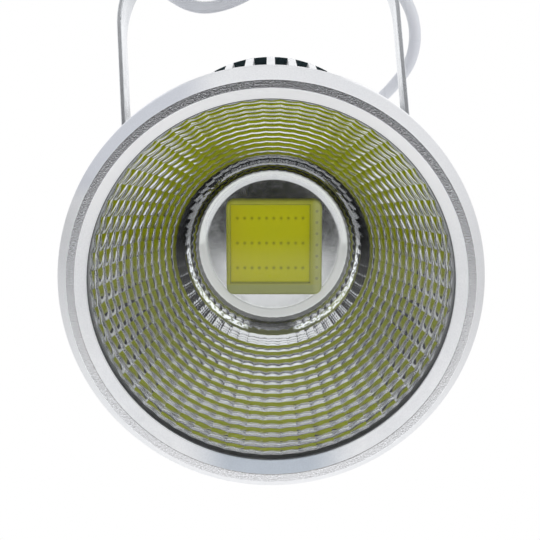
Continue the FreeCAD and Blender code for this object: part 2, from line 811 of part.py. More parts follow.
def driver_switches():
    """Two upright blocks, one on each side of the transformer."""
    thickness = 3.0
    body = new_body("driver_switches", many=True)
    for i, x in enumerate((-15.5, 12.5)):
        outline = draw(body, "switch_outline_%d" % i, "XY_Plane", BOARD_TOP, loops=[
            box_points(x, x + thickness, dims.web_end + 44, dims.web_end + 54)])
        pad(body, outline, "switch_pad_%d" % i, 14)
    place_in_head(body)


def led_leads():
    """Two bent wires, from the front of the driver space through the web to the plate."""
    wire_r = 0.75
    bend_r = 2.2
    reach = 6.5
    front_y = float(dims.plate_y) - 0.8
    back_y = float(sleeve_y) - 0.8
    leads = []
    for side in SIDES:
        z = float(dims.wire_off) * side
        start = Vector(-reach * side, front_y, z)
        corner = Vector(0, front_y, z)
        end = Vector(0, back_y, z)
        inward = (corner - start).normalize()
        outward = (end - corner).normalize()
        bend_start = corner - inward * bend_r
        bend_end = corner + outward * bend_r
        middle = corner + (outward - inward).normalize() * (bend_r * (math.sqrt(2) - 1))
        leads.append(sweep([
            Part.LineSegment(start, bend_start).toShape(),
            Part.Arc(bend_start, middle, bend_end).toShape(),
            Part.LineSegment(bend_end, end).toShape()], start, inward, wire_r))
    place(new_feature("led_leads", Part.makeCompound(leads)), clock_place)


# ================================================================ HEAD: rear end
def cover_seal():
    place_in_head(ring("cover_seal", dims.bore_r - 1.0, dims.core_r - 1.4,
                       dims.sink_end, cover_y))


def rear_cover():
    """Disc with a spigot in front, a gland hole and four counterbored screw holes."""
    overshoot = 1
    spigot_r = dims.cover_spigot_r - 1.2
    spigot_y = cover_y - 3.0
    body = turned("rear_cover", [
        (0, spigot_y), (spigot_r, spigot_y), (spigot_r, cover_y), (dims.fin_r, cover_y),
        (dims.fin_r, cover_back_y), (0, cover_back_y)])
    start = -cover_back_y - overshoot
    holes = draw(body, "cover_relief", "XZ_Plane", start,
                 circles=[(dims.gland_x, dims.gland_z, dims.gland_hole_r)]
                 + corner_circles(dims.cover_screw_off, dims.cover_screw_off, 1.9))
    pocket(body, holes, "cover_holes", 12, reverse=True)
    holes = draw(body, "cover_counterbores", "XZ_Plane", start,
                 circles=corner_circles(dims.cover_screw_off, dims.cover_screw_off, 3.7))
    pocket(body, holes, "cover_cbores", dims.cover_t - dims.cover_screw_floor + overshoot,
           reverse=True)
    fillet(body, "cover_round", radius=1.2, test=ring_edge((dims.fin_r, cover_back_y)))
    place_in_head(body)


def rear_cover_screws():
    """Four hex socket screws, drawn on X and turned by 45 degrees."""
    screw_ring_r = dims.cover_screw_off * math.sqrt(2)
    head_t = 1.9
    # (radius, depth behind the screw's seat)
    profile = [(0, -12), (1.65, -12), (1.65, 0), (3.4, 0), (3.4, 1.4), (2.9, head_t), (0, head_t)]
    body = new_body("rear_cover_screws", many=True)
    screw = revolve_about(body, "cover_screw_profile", "cover_screw", screw_ring_r,
                          shifted(profile, screw_ring_r, cover_screw_seat_y))
    outline = draw(body, "cover_socket_profile", "XZ_Plane", -cover_screw_seat_y - head_t,
                   loops=[hexagon(screw_ring_r, 0, 1.7)])
    socket = pocket(body, outline, "cover_socket", 1.2, reverse=True)
    polar(body, [screw, socket], "cover_screw_set", 4)
    place(body, diagonal_place)


# Cable gland, drawn on its own axis. Profiles are (radius, depth behind the cover's back).
def gland_body():
    thread_r = dims.gland_hole_r - 0.1
    front = -dims.cover_t - 6.5
    place(turned("gland_body", shifted([
        (2.9, front), (thread_r, front), (thread_r, 0), (6.0, 0), (6.0, 4), (5.0, 4),
        (5.0, 9), (2.9, 9)], 0, cover_back_y)), gland_place)


def gland_nut():
    """Lock nut inside the cover."""
    body = new_body("gland_nut")
    outline = draw(body, "gland_nut_outline", "XZ_Plane", -(cover_y - 3.0),
                   loops=[hexagon(0, 0, 6.6)], circles=[(0, 0, dims.gland_hole_r)])
    pad(body, outline, "gland_nut_pad", 3)
    place(body, gland_place)


def gland_seal():
    bore_r = dims.cable_r + FIT_GAP
    place(turned("gland_seal", shifted([
        (bore_r, 1.0), (2.85, 1.0), (2.85, 9.0), (3.3, 9.6), (3.3, 11.6), (bore_r, 12.4)],
        0, cover_back_y)), gland_place)


def gland_cap():
    """Compression cap with one flute."""
    body = turned("gland_cap", shifted([
        (5.05, 4.4), (6.3, 4.4), (6.3, 11.0), (4.4, 13.8), (2.75, 13.8), (2.75, 12.6),
        (3.5, 11.8), (3.5, 9.3), (5.05, 9.3)], 0, cover_back_y))
    flute = draw(body, "cap_flute_profile", "XZ_Plane", -(cover_back_y + 4.0),
                 circles=[(7.0, 0, 1.1)])
    pocket(body, flute, "cap_flute", 5.6)
    place(body, gland_place)


# ================================================================ YOKE
def draw_yoke_outline(body):
    """Edge view of the bent strip; the pivot is at the sketch's origin."""
    low = -dims.yoke_tail
    arm_x = dims.yoke_half
    bend_r = dims.yoke_bend
    inner_bend_r = bend_r - dims.yoke_t
    bend_x = arm_x - bend_r
    bend_z = dims.yoke_h - bend_r
    top = dims.yoke_h
    under = top - dims.yoke_t
    sketch = draw(body, "yoke_outline", "XZ_Plane")
    right_outer = add_line(sketch, (arm_x, low), (arm_x, bend_z))
    top_outer = add_line(sketch, (bend_x, top), (-bend_x, top))
    left_outer = add_line(sketch, (-arm_x, bend_z), (-arm_x, low))
    left_inner = add_line(sketch, (-arm_inner_x, low), (-arm_inner_x, bend_z))
    top_inner = add_line(sketch, (-bend_x, under), (bend_x, under))
    right_inner = add_line(sketch, (arm_inner_x, bend_z), (arm_inner_x, low))
    add_arc(sketch, bend_x, bend_z, bend_r, 0, (right_outer, 2), (top_outer, 1))
    add_arc(sketch, -bend_x, bend_z, bend_r, 90, (top_outer, 2), (left_outer, 1))
    add_arc(sketch, -bend_x, bend_z, inner_bend_r, 90, (top_inner, 1), (left_inner, 2))
    add_arc(sketch, bend_x, bend_z, inner_bend_r, 0, (right_inner, 1), (top_inner, 2))
    for side, outer, inner in ((1, (right_outer, 1), (right_inner, 2)),
                               (-1, (left_outer, 2), (left_inner, 1))):
        line = loose_line(sketch, (arm_x * side, low), (arm_inner_x * side, low))
        sketch.addConstraint(Sketcher.Constraint("Coincident", line, 1, *outer))
        sketch.addConstraint(Sketcher.Constraint("Coincident", line, 2, *inner))
    return sketch


def yoke_bracket():
    half_width = float(dims.yoke_w) / 2

    def strip_end_corner(edge):
        box = edge.BoundBox
        return (edge.Length < float(dims.yoke_t) + 0.01
                and abs(box.ZMin + float(dims.yoke_tail)) < 0.01 and box.XLength > 1.0)

    def strip_side_edge(edge):
        box = edge.BoundBox
        on_side = abs(box.YMin - half_width) < 0.01 or abs(box.YMax + half_width) < 0.01
        return on_side and box.YLength < 0.01 and edge.Length > 3

    body = new_body("yoke_bracket")
    pad(body, draw_yoke_outline(body), "yoke_strip", dims.yoke_w, midplane=True)
    fillet(body, "yoke_ends", radius=half_width - 0.02, test=strip_end_corner)
    holes = draw(body, "pivot_hole_profile", "YZ_Plane", circles=[(0, 0, dims.pivot_clear_r)])
    pocket(body, holes, "pivot_holes", dims.yoke_half * 2 + 4, midplane=True)
    hole = draw(body, "pan_hole_profile", "XY_Plane", dims.yoke_h + 1,
                circles=[(0, 0, dims.pan_hole_r)])
    pocket(body, hole, "pan_hole", 6)
    fillet(body, "yoke_soft_edges", radius=0.3, test=strip_side_edge)
    place_on_yoke(body)


def washer(body, name, start_x, centre_y, outer_r, inner_r, thickness):
    """A ring about a line parallel to X, from start_x outwards."""
    outline = draw(body, name + "_profile", "YZ_Plane", start_x,
                   circles=[(centre_y, 0, outer_r), (centre_y, 0, inner_r)])
    return pad(body, outline, name + "_pad", thickness)


def tilt_friction_washers():
    """Washers between the bosses and the arms; they ride with the yoke."""
    body = new_body("tilt_friction_washers", many=True)
    disc = washer(body, "friction", dims.boss_x + FIT_GAP, 0, 8.6, dims.pivot_clear_r + 0.1,
                  arm_inner_x - dims.boss_x - 2 * FIT_GAP)
    mirror(body, [disc], "friction_pair")
    place_on_yoke(body)


def tilt_washers():
    """Flat washers outside the arms."""
    body = new_body("tilt_washers", many=True)
    disc = washer(body, "tilt_washer", tilt_washer_x, dims.pivot_y, 6.2, 3.1,
                  dims.tilt_washer_t)
    mirror(body, [disc], "tilt_washer_pair")
    place_in_head(body)


def tilt_spring_washers():
    """Split washers under the screw heads."""
    half_split = 0.4
    body = new_body("tilt_spring_washers", many=True)
    disc = washer(body, "spring", spring_washer_x, dims.pivot_y, 5.0, 3.1, dims.spring_washer_t)
    outline = draw(body, "spring_slot_profile", "YZ_Plane", spring_washer_x, loops=[
        box_points(dims.pivot_y - half_split, dims.pivot_y + half_split, 2.5, 5.5)])
    split = pocket(body, outline, "spring_slot", dims.spring_washer_t, reverse=True)
    mirror(body, [disc, split], "spring_pair")
    place_in_head(body)


def tilt_screws():
    """Shouldered hex socket screws that join the arms to the bosses."""
    thread_depth = 9
    head_r = 5.0
    head_t = 5.0
    boss_reach = tilt_head_x - dims.boss_x
    body = new_body("tilt_screws", many=True)

    def disc(sketch_name, name, radius, length, reverse=False):
        outline = draw(body, sketch_name, "YZ_Plane", tilt_head_x,
                       circles=[(dims.pivot_y, 0, radius)])
        return pad(body, outline, name, length, reverse=reverse)

    shank = disc("tilt_screw_shank_profile", "tilt_shank", dims.pivot_hole_r - FIT_GAP,
                 boss_reach + thread_depth, reverse=True)
    shoulder = disc("tilt_shoulder_profile", "tilt_shoulder", dims.pivot_clear_r - 0.06,
                    boss_reach - FIT_GAP, reverse=True)
    head = disc("tilt_screw_head_profile", "tilt_head", head_r, head_t)
    outline = draw(body, "tilt_socket_profile", "YZ_Plane", tilt_head_x + head_t,
                   loops=[hexagon(dims.pivot_y, 0, 2.6)])
    socket = pocket(body, outline, "tilt_socket", 3.0)
    mirror(body, [shank, shoulder, head, socket], "tilt_screw_pair")
    place_in_head(body)


# ================================================================ SWIVEL (fixed to the adapter)
stem_hole_r = dims.stem_r + 0.05
nut_bore_r = dims.stem_r + FIT_GAP


def swivel_collar():
    """Collar under the adapter, chamfered at its lower rim."""
    body = new_body("swivel_collar")
    profile = draw(body, "collar_profile", "XZ_Plane", loops=[[
        (stem_hole_r, adapter_bottom), (dims.collar_r, adapter_bottom),
        (dims.collar_r, collar_bottom + 2), (dims.collar_r - 1.5, collar_bottom),
        (stem_hole_r, collar_bottom)]])
    revolve(body, profile, "collar_turn")
    place(body)


def pan_friction_washer():
    """Washer between the collar and the cross bar."""
    place(ring("pan_friction_washer", stem_hole_r, dims.pan_washer_r,
               bar_top + FIT_GAP, collar_bottom, "XZ_Plane"))


def pan_wave_washer():
    """Washer between the cross bar and the pan nut."""
    place(ring("pan_wave_washer", stem_hole_r, 9.0, pan_nut_top, bar_bottom - FIT_GAP,
               "XZ_Plane"))


def hex_nut(label, bottom, corner_r, thickness):
    body = new_body(label)
    outline = draw(body, label + "_outline", "XY_Plane", bottom,
                   loops=[hexagon(0, 0, corner_r)], circles=[(0, 0, nut_bore_r)])
    pad(body, outline, label + "_pad", thickness)
    place(body)


def pan_nut():
    hex_nut("pan_nut", pan_nut_bottom, dims.pan_nut_r, dims.pan_nut_t)


def swivel_stem():
    """Hollow stem from just below the pan nut up into the adapter."""
    place(ring("swivel_stem", dims.stem_bore_r, dims.stem_r, pan_nut_bottom - 0.6,
               lid_top + 5.0, "XZ_Plane"))


def stem_nut():
    """Nut on top of the adapter's bottom cover."""
    hex_nut("stem_nut", lid_top, 9.0, 3.5)


# ================================================================ ADAPTER
def adapter_housing():
    """Box open below, with two keys on top."""
    shell_h = dims.box_h - dims.lid_t
    slot_half_len = 21.4
    slot_half_h = 1.9
    body = new_body("adapter_housing")
    outline = draw(body, "box_outline", "XY_Plane", lid_top,
                   loops=[box_points(-box_half_len, box_half_len, -box_half_w, box_half_w)])
    pad(body, outline, "box_pad", shell_h)
    fillet(body, "box_corners", radius=4.0, test=upright_edge(shell_h))
    fillet(body, "box_top_round", radius=0.8, test=lambda edge: (
        abs(edge.BoundBox.ZMin) < 0.01 and edge.BoundBox.ZLength < 0.01))
    # keys that sit in the slot
    for i, side in enumerate(SIDES):
        key_x = dims.post_x * side
        outline = draw(body, "key_outline_%d" % i, loops=[
            box_points(key_x - dims.key_len / 2, key_x + dims.key_len / 2,
                       -dims.key_w / 2, dims.key_w / 2)])
        pad(body, outline, "key_pad_%d" % i, dims.key_h)
    # hollow from below
    hollow_x = box_half_len - dims.box_wall
    hollow_y = box_half_w - dims.box_wall
    outline = draw(body, "hollow_outline", "XY_Plane", lid_top,
                   loops=[box_points(-hollow_x, hollow_x, -hollow_y, hollow_y)])
    pocket(body, outline, "hollow", shell_h - dims.box_roof, reverse=True)
    # corner posts for the cover screws, running up into the roof
    outline = draw(body, "screw_post_outline", "XY_Plane", lid_top,
                   circles=corner_circles(lid_screw_x, lid_screw_y, 3.4))
    pad(body, outline, "screw_posts", shell_h - 2)
    taps = draw(body, "screw_tap_outline", "XY_Plane", lid_top,
                circles=corner_circles(lid_screw_x, lid_screw_y, 1.2))
    pocket(body, taps, "screw_taps", 10, reverse=True)
    # bores for the two turning posts
    bores = draw(body, "post_bore_outline", "XY_Plane", 8, circles=[
        (dims.post_x * side, 0, dims.post_r + dims.post_gap) for side in SIDES])
    pocket(body, bores, "post_bores", 16)
    # slots in the -Y wall that let the levers swing
    slots = draw(body, "lever_slot_outline", "XZ_Plane", box_half_w + 1, loops=[
        box_points(dims.post_x * side - slot_half_len, dims.post_x * side + slot_half_len,
                   dims.lever_z - slot_half_h, dims.lever_z + slot_half_h) for side in SIDES])
    pocket(body, slots, "lever_slots", 6)
    place(body)


def adapter_cover():
    """Bottom cover with openings for the stem, the cord and four countersunk screws."""
    body = new_body("adapter_cover")
    outline = draw(body, "cover_outline", "XY_Plane", adapter_bottom,
                   loops=[box_points(-box_half_len, box_half_len, -box_half_w, box_half_w)])
    pad(body, outline, "cover_pad", dims.lid_t)
    fillet(body, "cover_corners", radius=4.0, test=upright_edge(dims.lid_t))
    holes = draw(body, "cover_openings", "XY_Plane", adapter_bottom - 1,
                 circles=[(0, 0, nut_bore_r), (dims.cord_x, 0, 4.0)]
                 + corner_circles(lid_screw_x, lid_screw_y, 1.5))
    pocket(body, holes, "cover_openings_cut", 6, reverse=True)
    sinks = draw(body, "cover_sinks", "XY_Plane", adapter_bottom - 1,
                 circles=corner_circles(lid_screw_x, lid_screw_y, 2.7))
    pocket(body, sinks, "cover_sinks_cut", 2.2, reverse=True)
    place(body)


def adapter_screws():
    """Four slotted screws that hold the bottom cover."""
    head_z = 0.1
    slot_half_len = 1.6
    slot_half_w = 0.3
    # (radius, height above the adapter's underside)
    profile = [(0, head_z), (2.5, head_z), (2.5, 1.2), (1.15, 1.2), (1.15, 10.5), (0, 10.5)]
    body = new_body("adapter_screws", many=True)
    made = []
    for suffix, side in (("a", 1), ("b", -1)):
        y = lid_screw_y * side
        made.append(revolve_about(
            body, "adapter_screw_profile_" + suffix, "adapter_screw_" + suffix, lid_screw_x,
            shifted(profile, lid_screw_x, adapter_bottom), "XZ_Plane", -y))
        slot = draw(body, "adapter_cross_profile_" + suffix, "XY_Plane",
                    adapter_bottom + head_z, loops=[
                        box_points(lid_screw_x - slot_half_len, lid_screw_x + slot_half_len,
                                   y - slot_half_w, y + slot_half_w)])
        made.append(pocket(body, slot, "adapter_cross_" + suffix, 0.7, reverse=True))
    mirror(body, made, "adapter_screw_sides")
    place(body)


def turning_post(label, x):
    """Upright post with a chamfered top and a wider drum at its lower end."""
    drum_half_h = 4
    bevel = 1
    body = new_body(label)
    revolve_about(body, label + "_profile", label + "_turn", x, [
        (x, dims.lever_z - drum_half_h), (x + dims.drum_r, dims.lever_z - drum_half_h),
        (x + dims.drum_r, dims.lever_z + drum_half_h),
        (x + dims.post_r, dims.lever_z + drum_half_h), (x + dims.post_r, dims.post_top - bevel),
        (x + dims.post_r - bevel, dims.post_top), (x, dims.post_top)], "XZ_Plane")
    return body


def lever(label, x):
    """Ring that grips the post's drum and an arm that reaches out through the slot."""
    bottom = dims.lever_z - dims.lever_t / 2
    tip_reach, tip_half_w = 27.0, 2.2
    root_reach, root_half_w = 8.6, 2.9
    body = new_body(label)
    outline = draw(body, label + "_ring_profile", "XY_Plane", bottom,
                   circles=[(x, 0, 9.6), (x, 0, dims.drum_r)])
    pad(body, outline, label + "_ring", dims.lever_t)

    def arm_corner(reach, aside):
        """Corner of the arm, which points midway between -X and -Y."""
        diagonal = math.sqrt(0.5)
        return (x - (reach + aside) * diagonal, (aside - reach) * diagonal)

    outline = draw(body, label + "_arm_profile", "XY_Plane", bottom, loops=[[
        arm_corner(tip_reach, tip_half_w), arm_corner(tip_reach, -tip_half_w),
        arm_corner(root_reach, -root_half_w), arm_corner(root_reach, root_half_w)]])
    pad(body, outline, label + "_arm", dims.lever_t)
    is_upright = upright_edge(dims.lever_t)
    fillet(body, label + "_soft", radius=1.0,
           test=lambda edge: is_upright(edge) and edge.BoundBox.YMax < -16)
    place(body)


def lock_post():
    """Post on the +X side, with a slot for the latch."""
    half_width = 3.0
    body = turning_post("lock_post", dims.post_x)
    seat = draw(body, "latch_seat", "XY_Plane", 6.0, loops=[
        box_points(dims.post_x - half_width, dims.post_x + half_width, -8.0, 8.0)])
    pocket(body, seat, "latch_slot", 1.6, reverse=True)
    place(body)


def lock_latch():
    """Flat bar through the lock post, drawn along Y, with bevelled ends."""
    half_w, tip_half_w = 2.95, 2.0
    shoulder, tip = 11.4, 12.4
    body = new_body("lock_latch")
    outline = draw(body, "latch_outline", "XY_Plane", 6.03, loops=[shifted([
        (-half_w, -shoulder), (-tip_half_w, -tip), (tip_half_w, -tip), (half_w, -shoulder),
        (half_w, shoulder), (tip_half_w, tip), (-tip_half_w, tip), (-half_w, shoulder)],
        dims.post_x, 0)])
    pad(body, outline, "latch_pad", 1.54)
    place(body)


def lock_lever():
    lever("lock_lever", dims.post_x)


LOW_BLADE_Z = 4.2
HIGH_BLADE_Z = 7.6


def contact_post():
    """Post on the -X side, with slots for two blades."""
    half_width = 2.0
    body = turning_post("contact_post", -dims.post_x)
    for i, z in enumerate((LOW_BLADE_Z, HIGH_BLADE_Z)):
        seat = draw(body, "blade_seat_%d" % i, "XY_Plane", z, loops=[
            box_points(-dims.post_x - half_width, -dims.post_x + half_width, -6.5, 6.5)])
        pocket(body, seat, "blade_slot_%d" % i, 1.0, reverse=True)
    place(body)


def contact_blades():
    """The low blade sticks out towards +Y, the high one towards -Y."""
    half_width = 1.95
    body = new_body("contact_blades", many=True)
    for name, z, y0, y1 in (("blade_low", LOW_BLADE_Z, -5.0, 12.2),
                            ("blade_high", HIGH_BLADE_Z, -12.2, 5.0)):
        outline = draw(body, name, "XY_Plane", z + FIT_GAP, loops=[
            box_points(-dims.post_x - half_width, -dims.post_x + half_width, y0, y1)])
        pad(body, outline, name + "_pad", 0.96)
    place(body)


def contact_lever():
    lever("contact_lever", -dims.post_x)


def terminal_block():
    """Block inside the adapter with two bores along X."""
    body = new_body("terminal_block")
    outline = draw(body, "terminal_outline", "XY_Plane", lid_top + 0.5,
                   loops=[box_points(13.0, 25.0, -5.5, 11.5)])
    pad(body, outline, "terminal_pad", 11)
    bores = draw(body, "terminal_bores", "YZ_Plane", 27,
                 circles=[(y, lid_top + 4.5, 1.7) for y in (-1.2, 7.2)])
    pocket(body, bores, "terminal_bores_cut", 14)
    place(body)


def cord_grip():
    """Sleeve round the cable in the bottom cover, with a flange and a tapered nose below."""
    bore_r = dims.cable_r + FIT_GAP
    top = dims.lid_t + 1.5
    # (radius, height above the adapter's underside)
    profile = [(bore_r, -5.5), (3.6, -5.5), (4.2, -1.6), (5.6, -1.6), (5.6, -FIT_GAP),
               (3.95, -FIT_GAP), (3.95, top), (bore_r, top)]
    body = new_body("cord_grip")
    revolve_about(body, "grip_profile", "grip_turn", dims.cord_x,
                  shifted(profile, dims.cord_x, adapter_bottom), "XZ_Plane")
    place(body)


# ================================================================ CABLE
# Control points of the free run in the row frame, (x, y, z): round behind the yoke's +X arm,
# over behind the cross bar, a slack dip, then towards the cord grip.
CABLE_RUN = [
    (11.0, 109.5, -104.5), (19.0, 118.0, -92.0), (32.5, 108.0, -79.5), (41.0, 89.0, -76.2),
    (46.9, 72.0, -75.85), (51.6, 60.0, -74.6), (56.4, 50.0, -71.3), (58.4, 42.0, -65.2),
    (57.8, 36.3, -58.2), (54.8, 32.8, -51.0), (47.5, 30.3, -42.0), (36.0, 28.5, -36.6),
    (22.0, 28.0, -35.8), (8.0, 27.7, -41.2), (-6.76, 27.0, -50.4), (-20.5, 25.0, -54.3),
    (-29.5, 21.0, -51.4), (-37.0, 17.6, -45.2), (-44.0, 11.0, -42.6), (-48.0, 2.5, -43.6),
]


def supply_cable():
    """One flexible cable from inside the gland to inside the cord grip."""
    def on_gland_axis(depth):
        return head_place.multVec(Vector(float(dims.gland_x), float(depth), float(dims.gland_z)))

    def on_cord_axis(height):
        return Vector(float(dims.cord_x), 0.0, float(adapter_bottom) + height)

    inner_end = on_gland_axis(cover_y - 12.0)
    leave = on_gland_axis(cover_back_y + 16.0)
    backward = head_place.Rotation.multVec(Vector(0, 1, 0))
    arrive = on_cord_axis(-7.5)
    poles = [leave, leave + backward * 9] + [Vector(*point) for point in CABLE_RUN]
    poles += [on_cord_axis(-13.5), arrive]
    spline = Part.BSplineCurve()
    spline.buildFromPoles(poles, False, 3)
    shape = sweep([
        Part.LineSegment(inner_end, leave).toShape(), spline.toShape(),
        Part.LineSegment(arrive, on_cord_axis(6.0)).toShape()],
        inner_end, backward, float(dims.cable_r))
    place(new_feature("supply_cable", shape))


# ---------------------------------------------------------------- build, check and export
for build in (
        front_bezel, front_gasket, glass_lens, rear_gasket, reflector, front_housing,
        led_plate, led_phosphor, led_gel, thermal_pad, led_screws, heat_sink, housing_screws,
        driver_sleeve, driver_board, driver_transformer, driver_capacitors, driver_choke,
        driver_switches, led_leads, cover_seal, rear_cover, rear_cover_screws,
        gland_body, gland_nut, gland_seal, gland_cap,
        yoke_bracket, tilt_friction_washers, tilt_washers, tilt_spring_washers, tilt_screws,
        swivel_collar, pan_friction_washer, pan_wave_washer, pan_nut, swivel_stem, stem_nut,
        adapter_housing, adapter_cover, adapter_screws, lock_post, lock_latch, lock_lever,
        contact_post, contact_blades, contact_lever, terminal_block, cord_grip, supply_cable):
    build()

doc.recompute()
bad = ["%s %s" % (obj.Name, obj.State) for obj in doc.Objects
       if "Invalid" in obj.State or "Error" in obj.State]
for obj in parts:
    shape = obj.Shape
    if shape.isNull() or not shape.isValid() or not shape.Solids or shape.Volume <= 0:
        bad.append("%s has no valid solid" % obj.Label)
if bad:
    raise SystemExit("\n".join(bad))
os.makedirs("parts", exist_ok=True)
for obj in parts:
    obj.Shape.exportStep("parts/%s.step" % obj.Label)
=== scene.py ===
"""Track spotlight: detailed meshes, materials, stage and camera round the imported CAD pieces.

Row frame: +Z up, the front towards -Y, the adapter at the top. Lengths are in mm until they reach
a mesh. Head frame: origin at the middle of the mouth, +Y into the lamp; the head is tilted so
that its mouth looks forwards and down.
"""
import bpy
import math
import numpy as np
from mathutils import Vector, Matrix


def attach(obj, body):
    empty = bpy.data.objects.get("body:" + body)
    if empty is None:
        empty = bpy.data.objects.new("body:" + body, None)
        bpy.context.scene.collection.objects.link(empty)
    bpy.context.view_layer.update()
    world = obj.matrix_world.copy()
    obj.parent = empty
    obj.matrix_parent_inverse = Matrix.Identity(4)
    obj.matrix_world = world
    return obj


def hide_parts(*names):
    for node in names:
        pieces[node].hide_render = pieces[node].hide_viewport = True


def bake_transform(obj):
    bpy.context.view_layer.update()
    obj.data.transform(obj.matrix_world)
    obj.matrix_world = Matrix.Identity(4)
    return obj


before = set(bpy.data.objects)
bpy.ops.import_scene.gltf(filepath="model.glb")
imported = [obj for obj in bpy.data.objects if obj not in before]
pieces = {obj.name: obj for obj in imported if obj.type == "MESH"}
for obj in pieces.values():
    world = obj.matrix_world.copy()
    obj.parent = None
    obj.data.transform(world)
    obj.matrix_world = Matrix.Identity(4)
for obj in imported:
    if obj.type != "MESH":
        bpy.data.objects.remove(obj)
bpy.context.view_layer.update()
MM = 0.001

# ------------------------------------------------------------------ head frame
TILT = math.radians(24.0)                    # about the row's X axis
CLOCK = math.radians(4.0)                    # about the lamp's own axis
PIVOT = np.array([0.0, 0.0, -136.0])         # tilt pivot, row frame
PIVOT_DEPTH = 138.0                          # the same pivot, depth behind the mouth
LEAN = (0.62, -0.35)                         # x, z offset of the reflector's neck and the LED plate


def head(points, clocked=True):
    """Head frame (mm) to the row frame (m)."""
    points = np.atleast_2d(np.asarray(points, float))
    x, y, z = points[:, 0], points[:, 1], points[:, 2]
    if clocked:
        c, s = math.cos(CLOCK), math.sin(CLOCK)
        x, z = x * c + z * s, -x * s + z * c
    y = y - PIVOT_DEPTH
    c, s = math.cos(TILT), math.sin(TILT)
    return (np.stack([x, y * c - z * s, y * s + z * c], 1) + PIVOT) * MM


def head_direction(x, y, z):
    """A direction in the head frame as seen in the row frame, not of unit length."""
    return head([[x, y, z]])[0] - head([[0, 0, 0]])[0]


def head_matrix():
    axes = [head_direction(*axis) for axis in ((1, 0, 0), (0, 1, 0), (0, 0, 1))]
    matrix = Matrix([(a / np.linalg.norm(a)).tolist() for a in axes]).transposed().to_4x4()
    matrix.translation = head([[0, 0, 0]])[0].tolist()
    return matrix


ROW_TO_HEAD = head_matrix().inverted()


# ------------------------------------------------------------------ mesh helpers
def mesh_object(name, verts, faces, material, body=None, sharp_angle=None):
    """Smooth-shaded mesh object (m); sharp_angle is in degrees."""
    mesh = bpy.data.meshes.new(name)
    mesh.from_pydata([tuple(v) for v in verts], [], [tuple(f) for f in faces])
    mesh.validate()
    mesh.update()
    mesh.polygons.foreach_set("use_smooth", [True] * len(mesh.polygons))
    if sharp_angle is not None:
        mesh.set_sharp_from_angle(angle=math.radians(sharp_angle))
    ob = bpy.data.objects.new(name, mesh)
    bpy.context.scene.collection.objects.link(ob)
    mesh.materials.append(material)
    if body:
        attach(ob, body)
    return ob


def mark_sharp(mesh, pairs):
    """Marks the edges between the given vertex pairs as sharp."""
    wanted = {tuple(sorted(pair)) for pair in pairs}
    flags = [tuple(sorted(edge.vertices)) in wanted for edge in mesh.edges]
    mesh.attributes.new("sharp_edge", "BOOLEAN", "EDGE").data.foreach_set("value", flags)


def lathe(profile, segments):
    """Closed (radius, depth) profile turned about the lamp axis, in the head frame.
    A point on the axis becomes one vertex."""
    verts, rings, faces = [], [], []
    for radius, depth in profile:
        start = len(verts)
        if radius < 1e-6:
            rings.append([start] * segments)
            verts.append((0.0, depth, 0.0))
            continue
        rings.append(list(range(start, start + segments)))
        for k in range(segments):
            angle = 2 * math.pi * k / segments
            verts.append((radius * math.cos(angle), depth, radius * math.sin(angle)))
    for a, b in zip(rings, rings[1:] + rings[:1]):
        if a[0] == a[1] and b[0] == b[1]:
            continue
        for k in range(segments):
            k2 = (k + 1) % segments
            corners = list(dict.fromkeys((a[k], a[k2], b[k2], b[k])))
            faces.append(corners[::-1])
    return np.array(verts), faces


def tube(name, points, radius, material, sides=32):
    """Round capped cable along points (mm, row frame)."""
    tangents = np.gradient(points, axis=0)
    tangents /= np.linalg.norm(tangents, axis=1)[:, None]
    normal = np.cross(tangents[0], (0.0, 0.0, 1.0))
    normal /= np.linalg.norm(normal)
    verts, faces = [], []
    for point, tangent in zip(points, tangents):
        # carry the last normal along so that the rings don't twist
        normal = normal - tangent * (normal @ tangent)
        normal /= np.linalg.norm(normal)
        binormal = np.cross(tangent, normal)
        for k in range(sides):
            angle = 2 * math.pi * k / sides
            verts.append(point + radius * (math.cos(angle) * normal + math.sin(angle) * binormal))
    last = (len(points) - 1) * sides
    for start in range(0, last, sides):
        for k in range(sides):
            a, b = start + k, start + (k + 1) % sides
            faces.append((a, b, b + sides, a + sides))
    faces.append(tuple(reversed(range(sides))))
    faces.append(tuple(range(last, last + sides)))
    return mesh_object(name, np.array(verts) * MM, faces, material, sharp_angle=60)


# ------------------------------------------------------------------ shader helpers
def operation(name, swapped=False):
    """A Field method that adds one Math node."""
    def apply(field, *others):
        operands = (*others, field) if swapped else (field, *others)
        return field.graph.add("Math", dict(enumerate(operands)), operation=name)
    return apply


class Field:
    """A shader output that takes arithmetic."""

    def __init__(self, graph, socket):
        self.graph = graph
        self.socket = socket

    __add__ = operation("ADD")
    __radd__ = operation("ADD", swapped=True)
    __sub__ = operation("SUBTRACT")
    __rsub__ = operation("SUBTRACT", swapped=True)
    __mul__ = operation("MULTIPLY")
    __pow__ = operation("POWER")
    __abs__ = operation("ABSOLUTE")
    sqrt = operation("SQRT")
    arccos = operation("ARCCOSINE")
    arctan2 = operation("ARCTAN2")
    maximum = operation("MAXIMUM")
    minimum = operation("MINIMUM")
    pingpong = operation("PINGPONG")
    above = operation("GREATER_THAN")
    below = operation("LESS_THAN")

    def linear(self, low=0.0, high=1.0, start=0.3, end=0.7, kind="LINEAR"):
        """Goes from low at start to high at end."""
        limits = {"Value": self, "From Min": start, "From Max": end, "To Min": low, "To Max": high}
        return self.graph.add("MapRange", limits, output="Result", interpolation_type=kind)

    def rise(self, start, end, low=0.0, high=1.0):
        """Goes smoothly from low at start to high at end."""
        return self.linear(low, high, start, end, kind="SMOOTHSTEP")

    def fade(self, start, end, level=1.0):
        """Goes smoothly from level at start to 0 at end."""
        return self.rise(start, end, low=level, high=0.0)

    def band(self, opens, closes):
        """1 between two soft edges, each a (start, end) pair."""
        return self.rise(*opens) * self.fade(*closes)


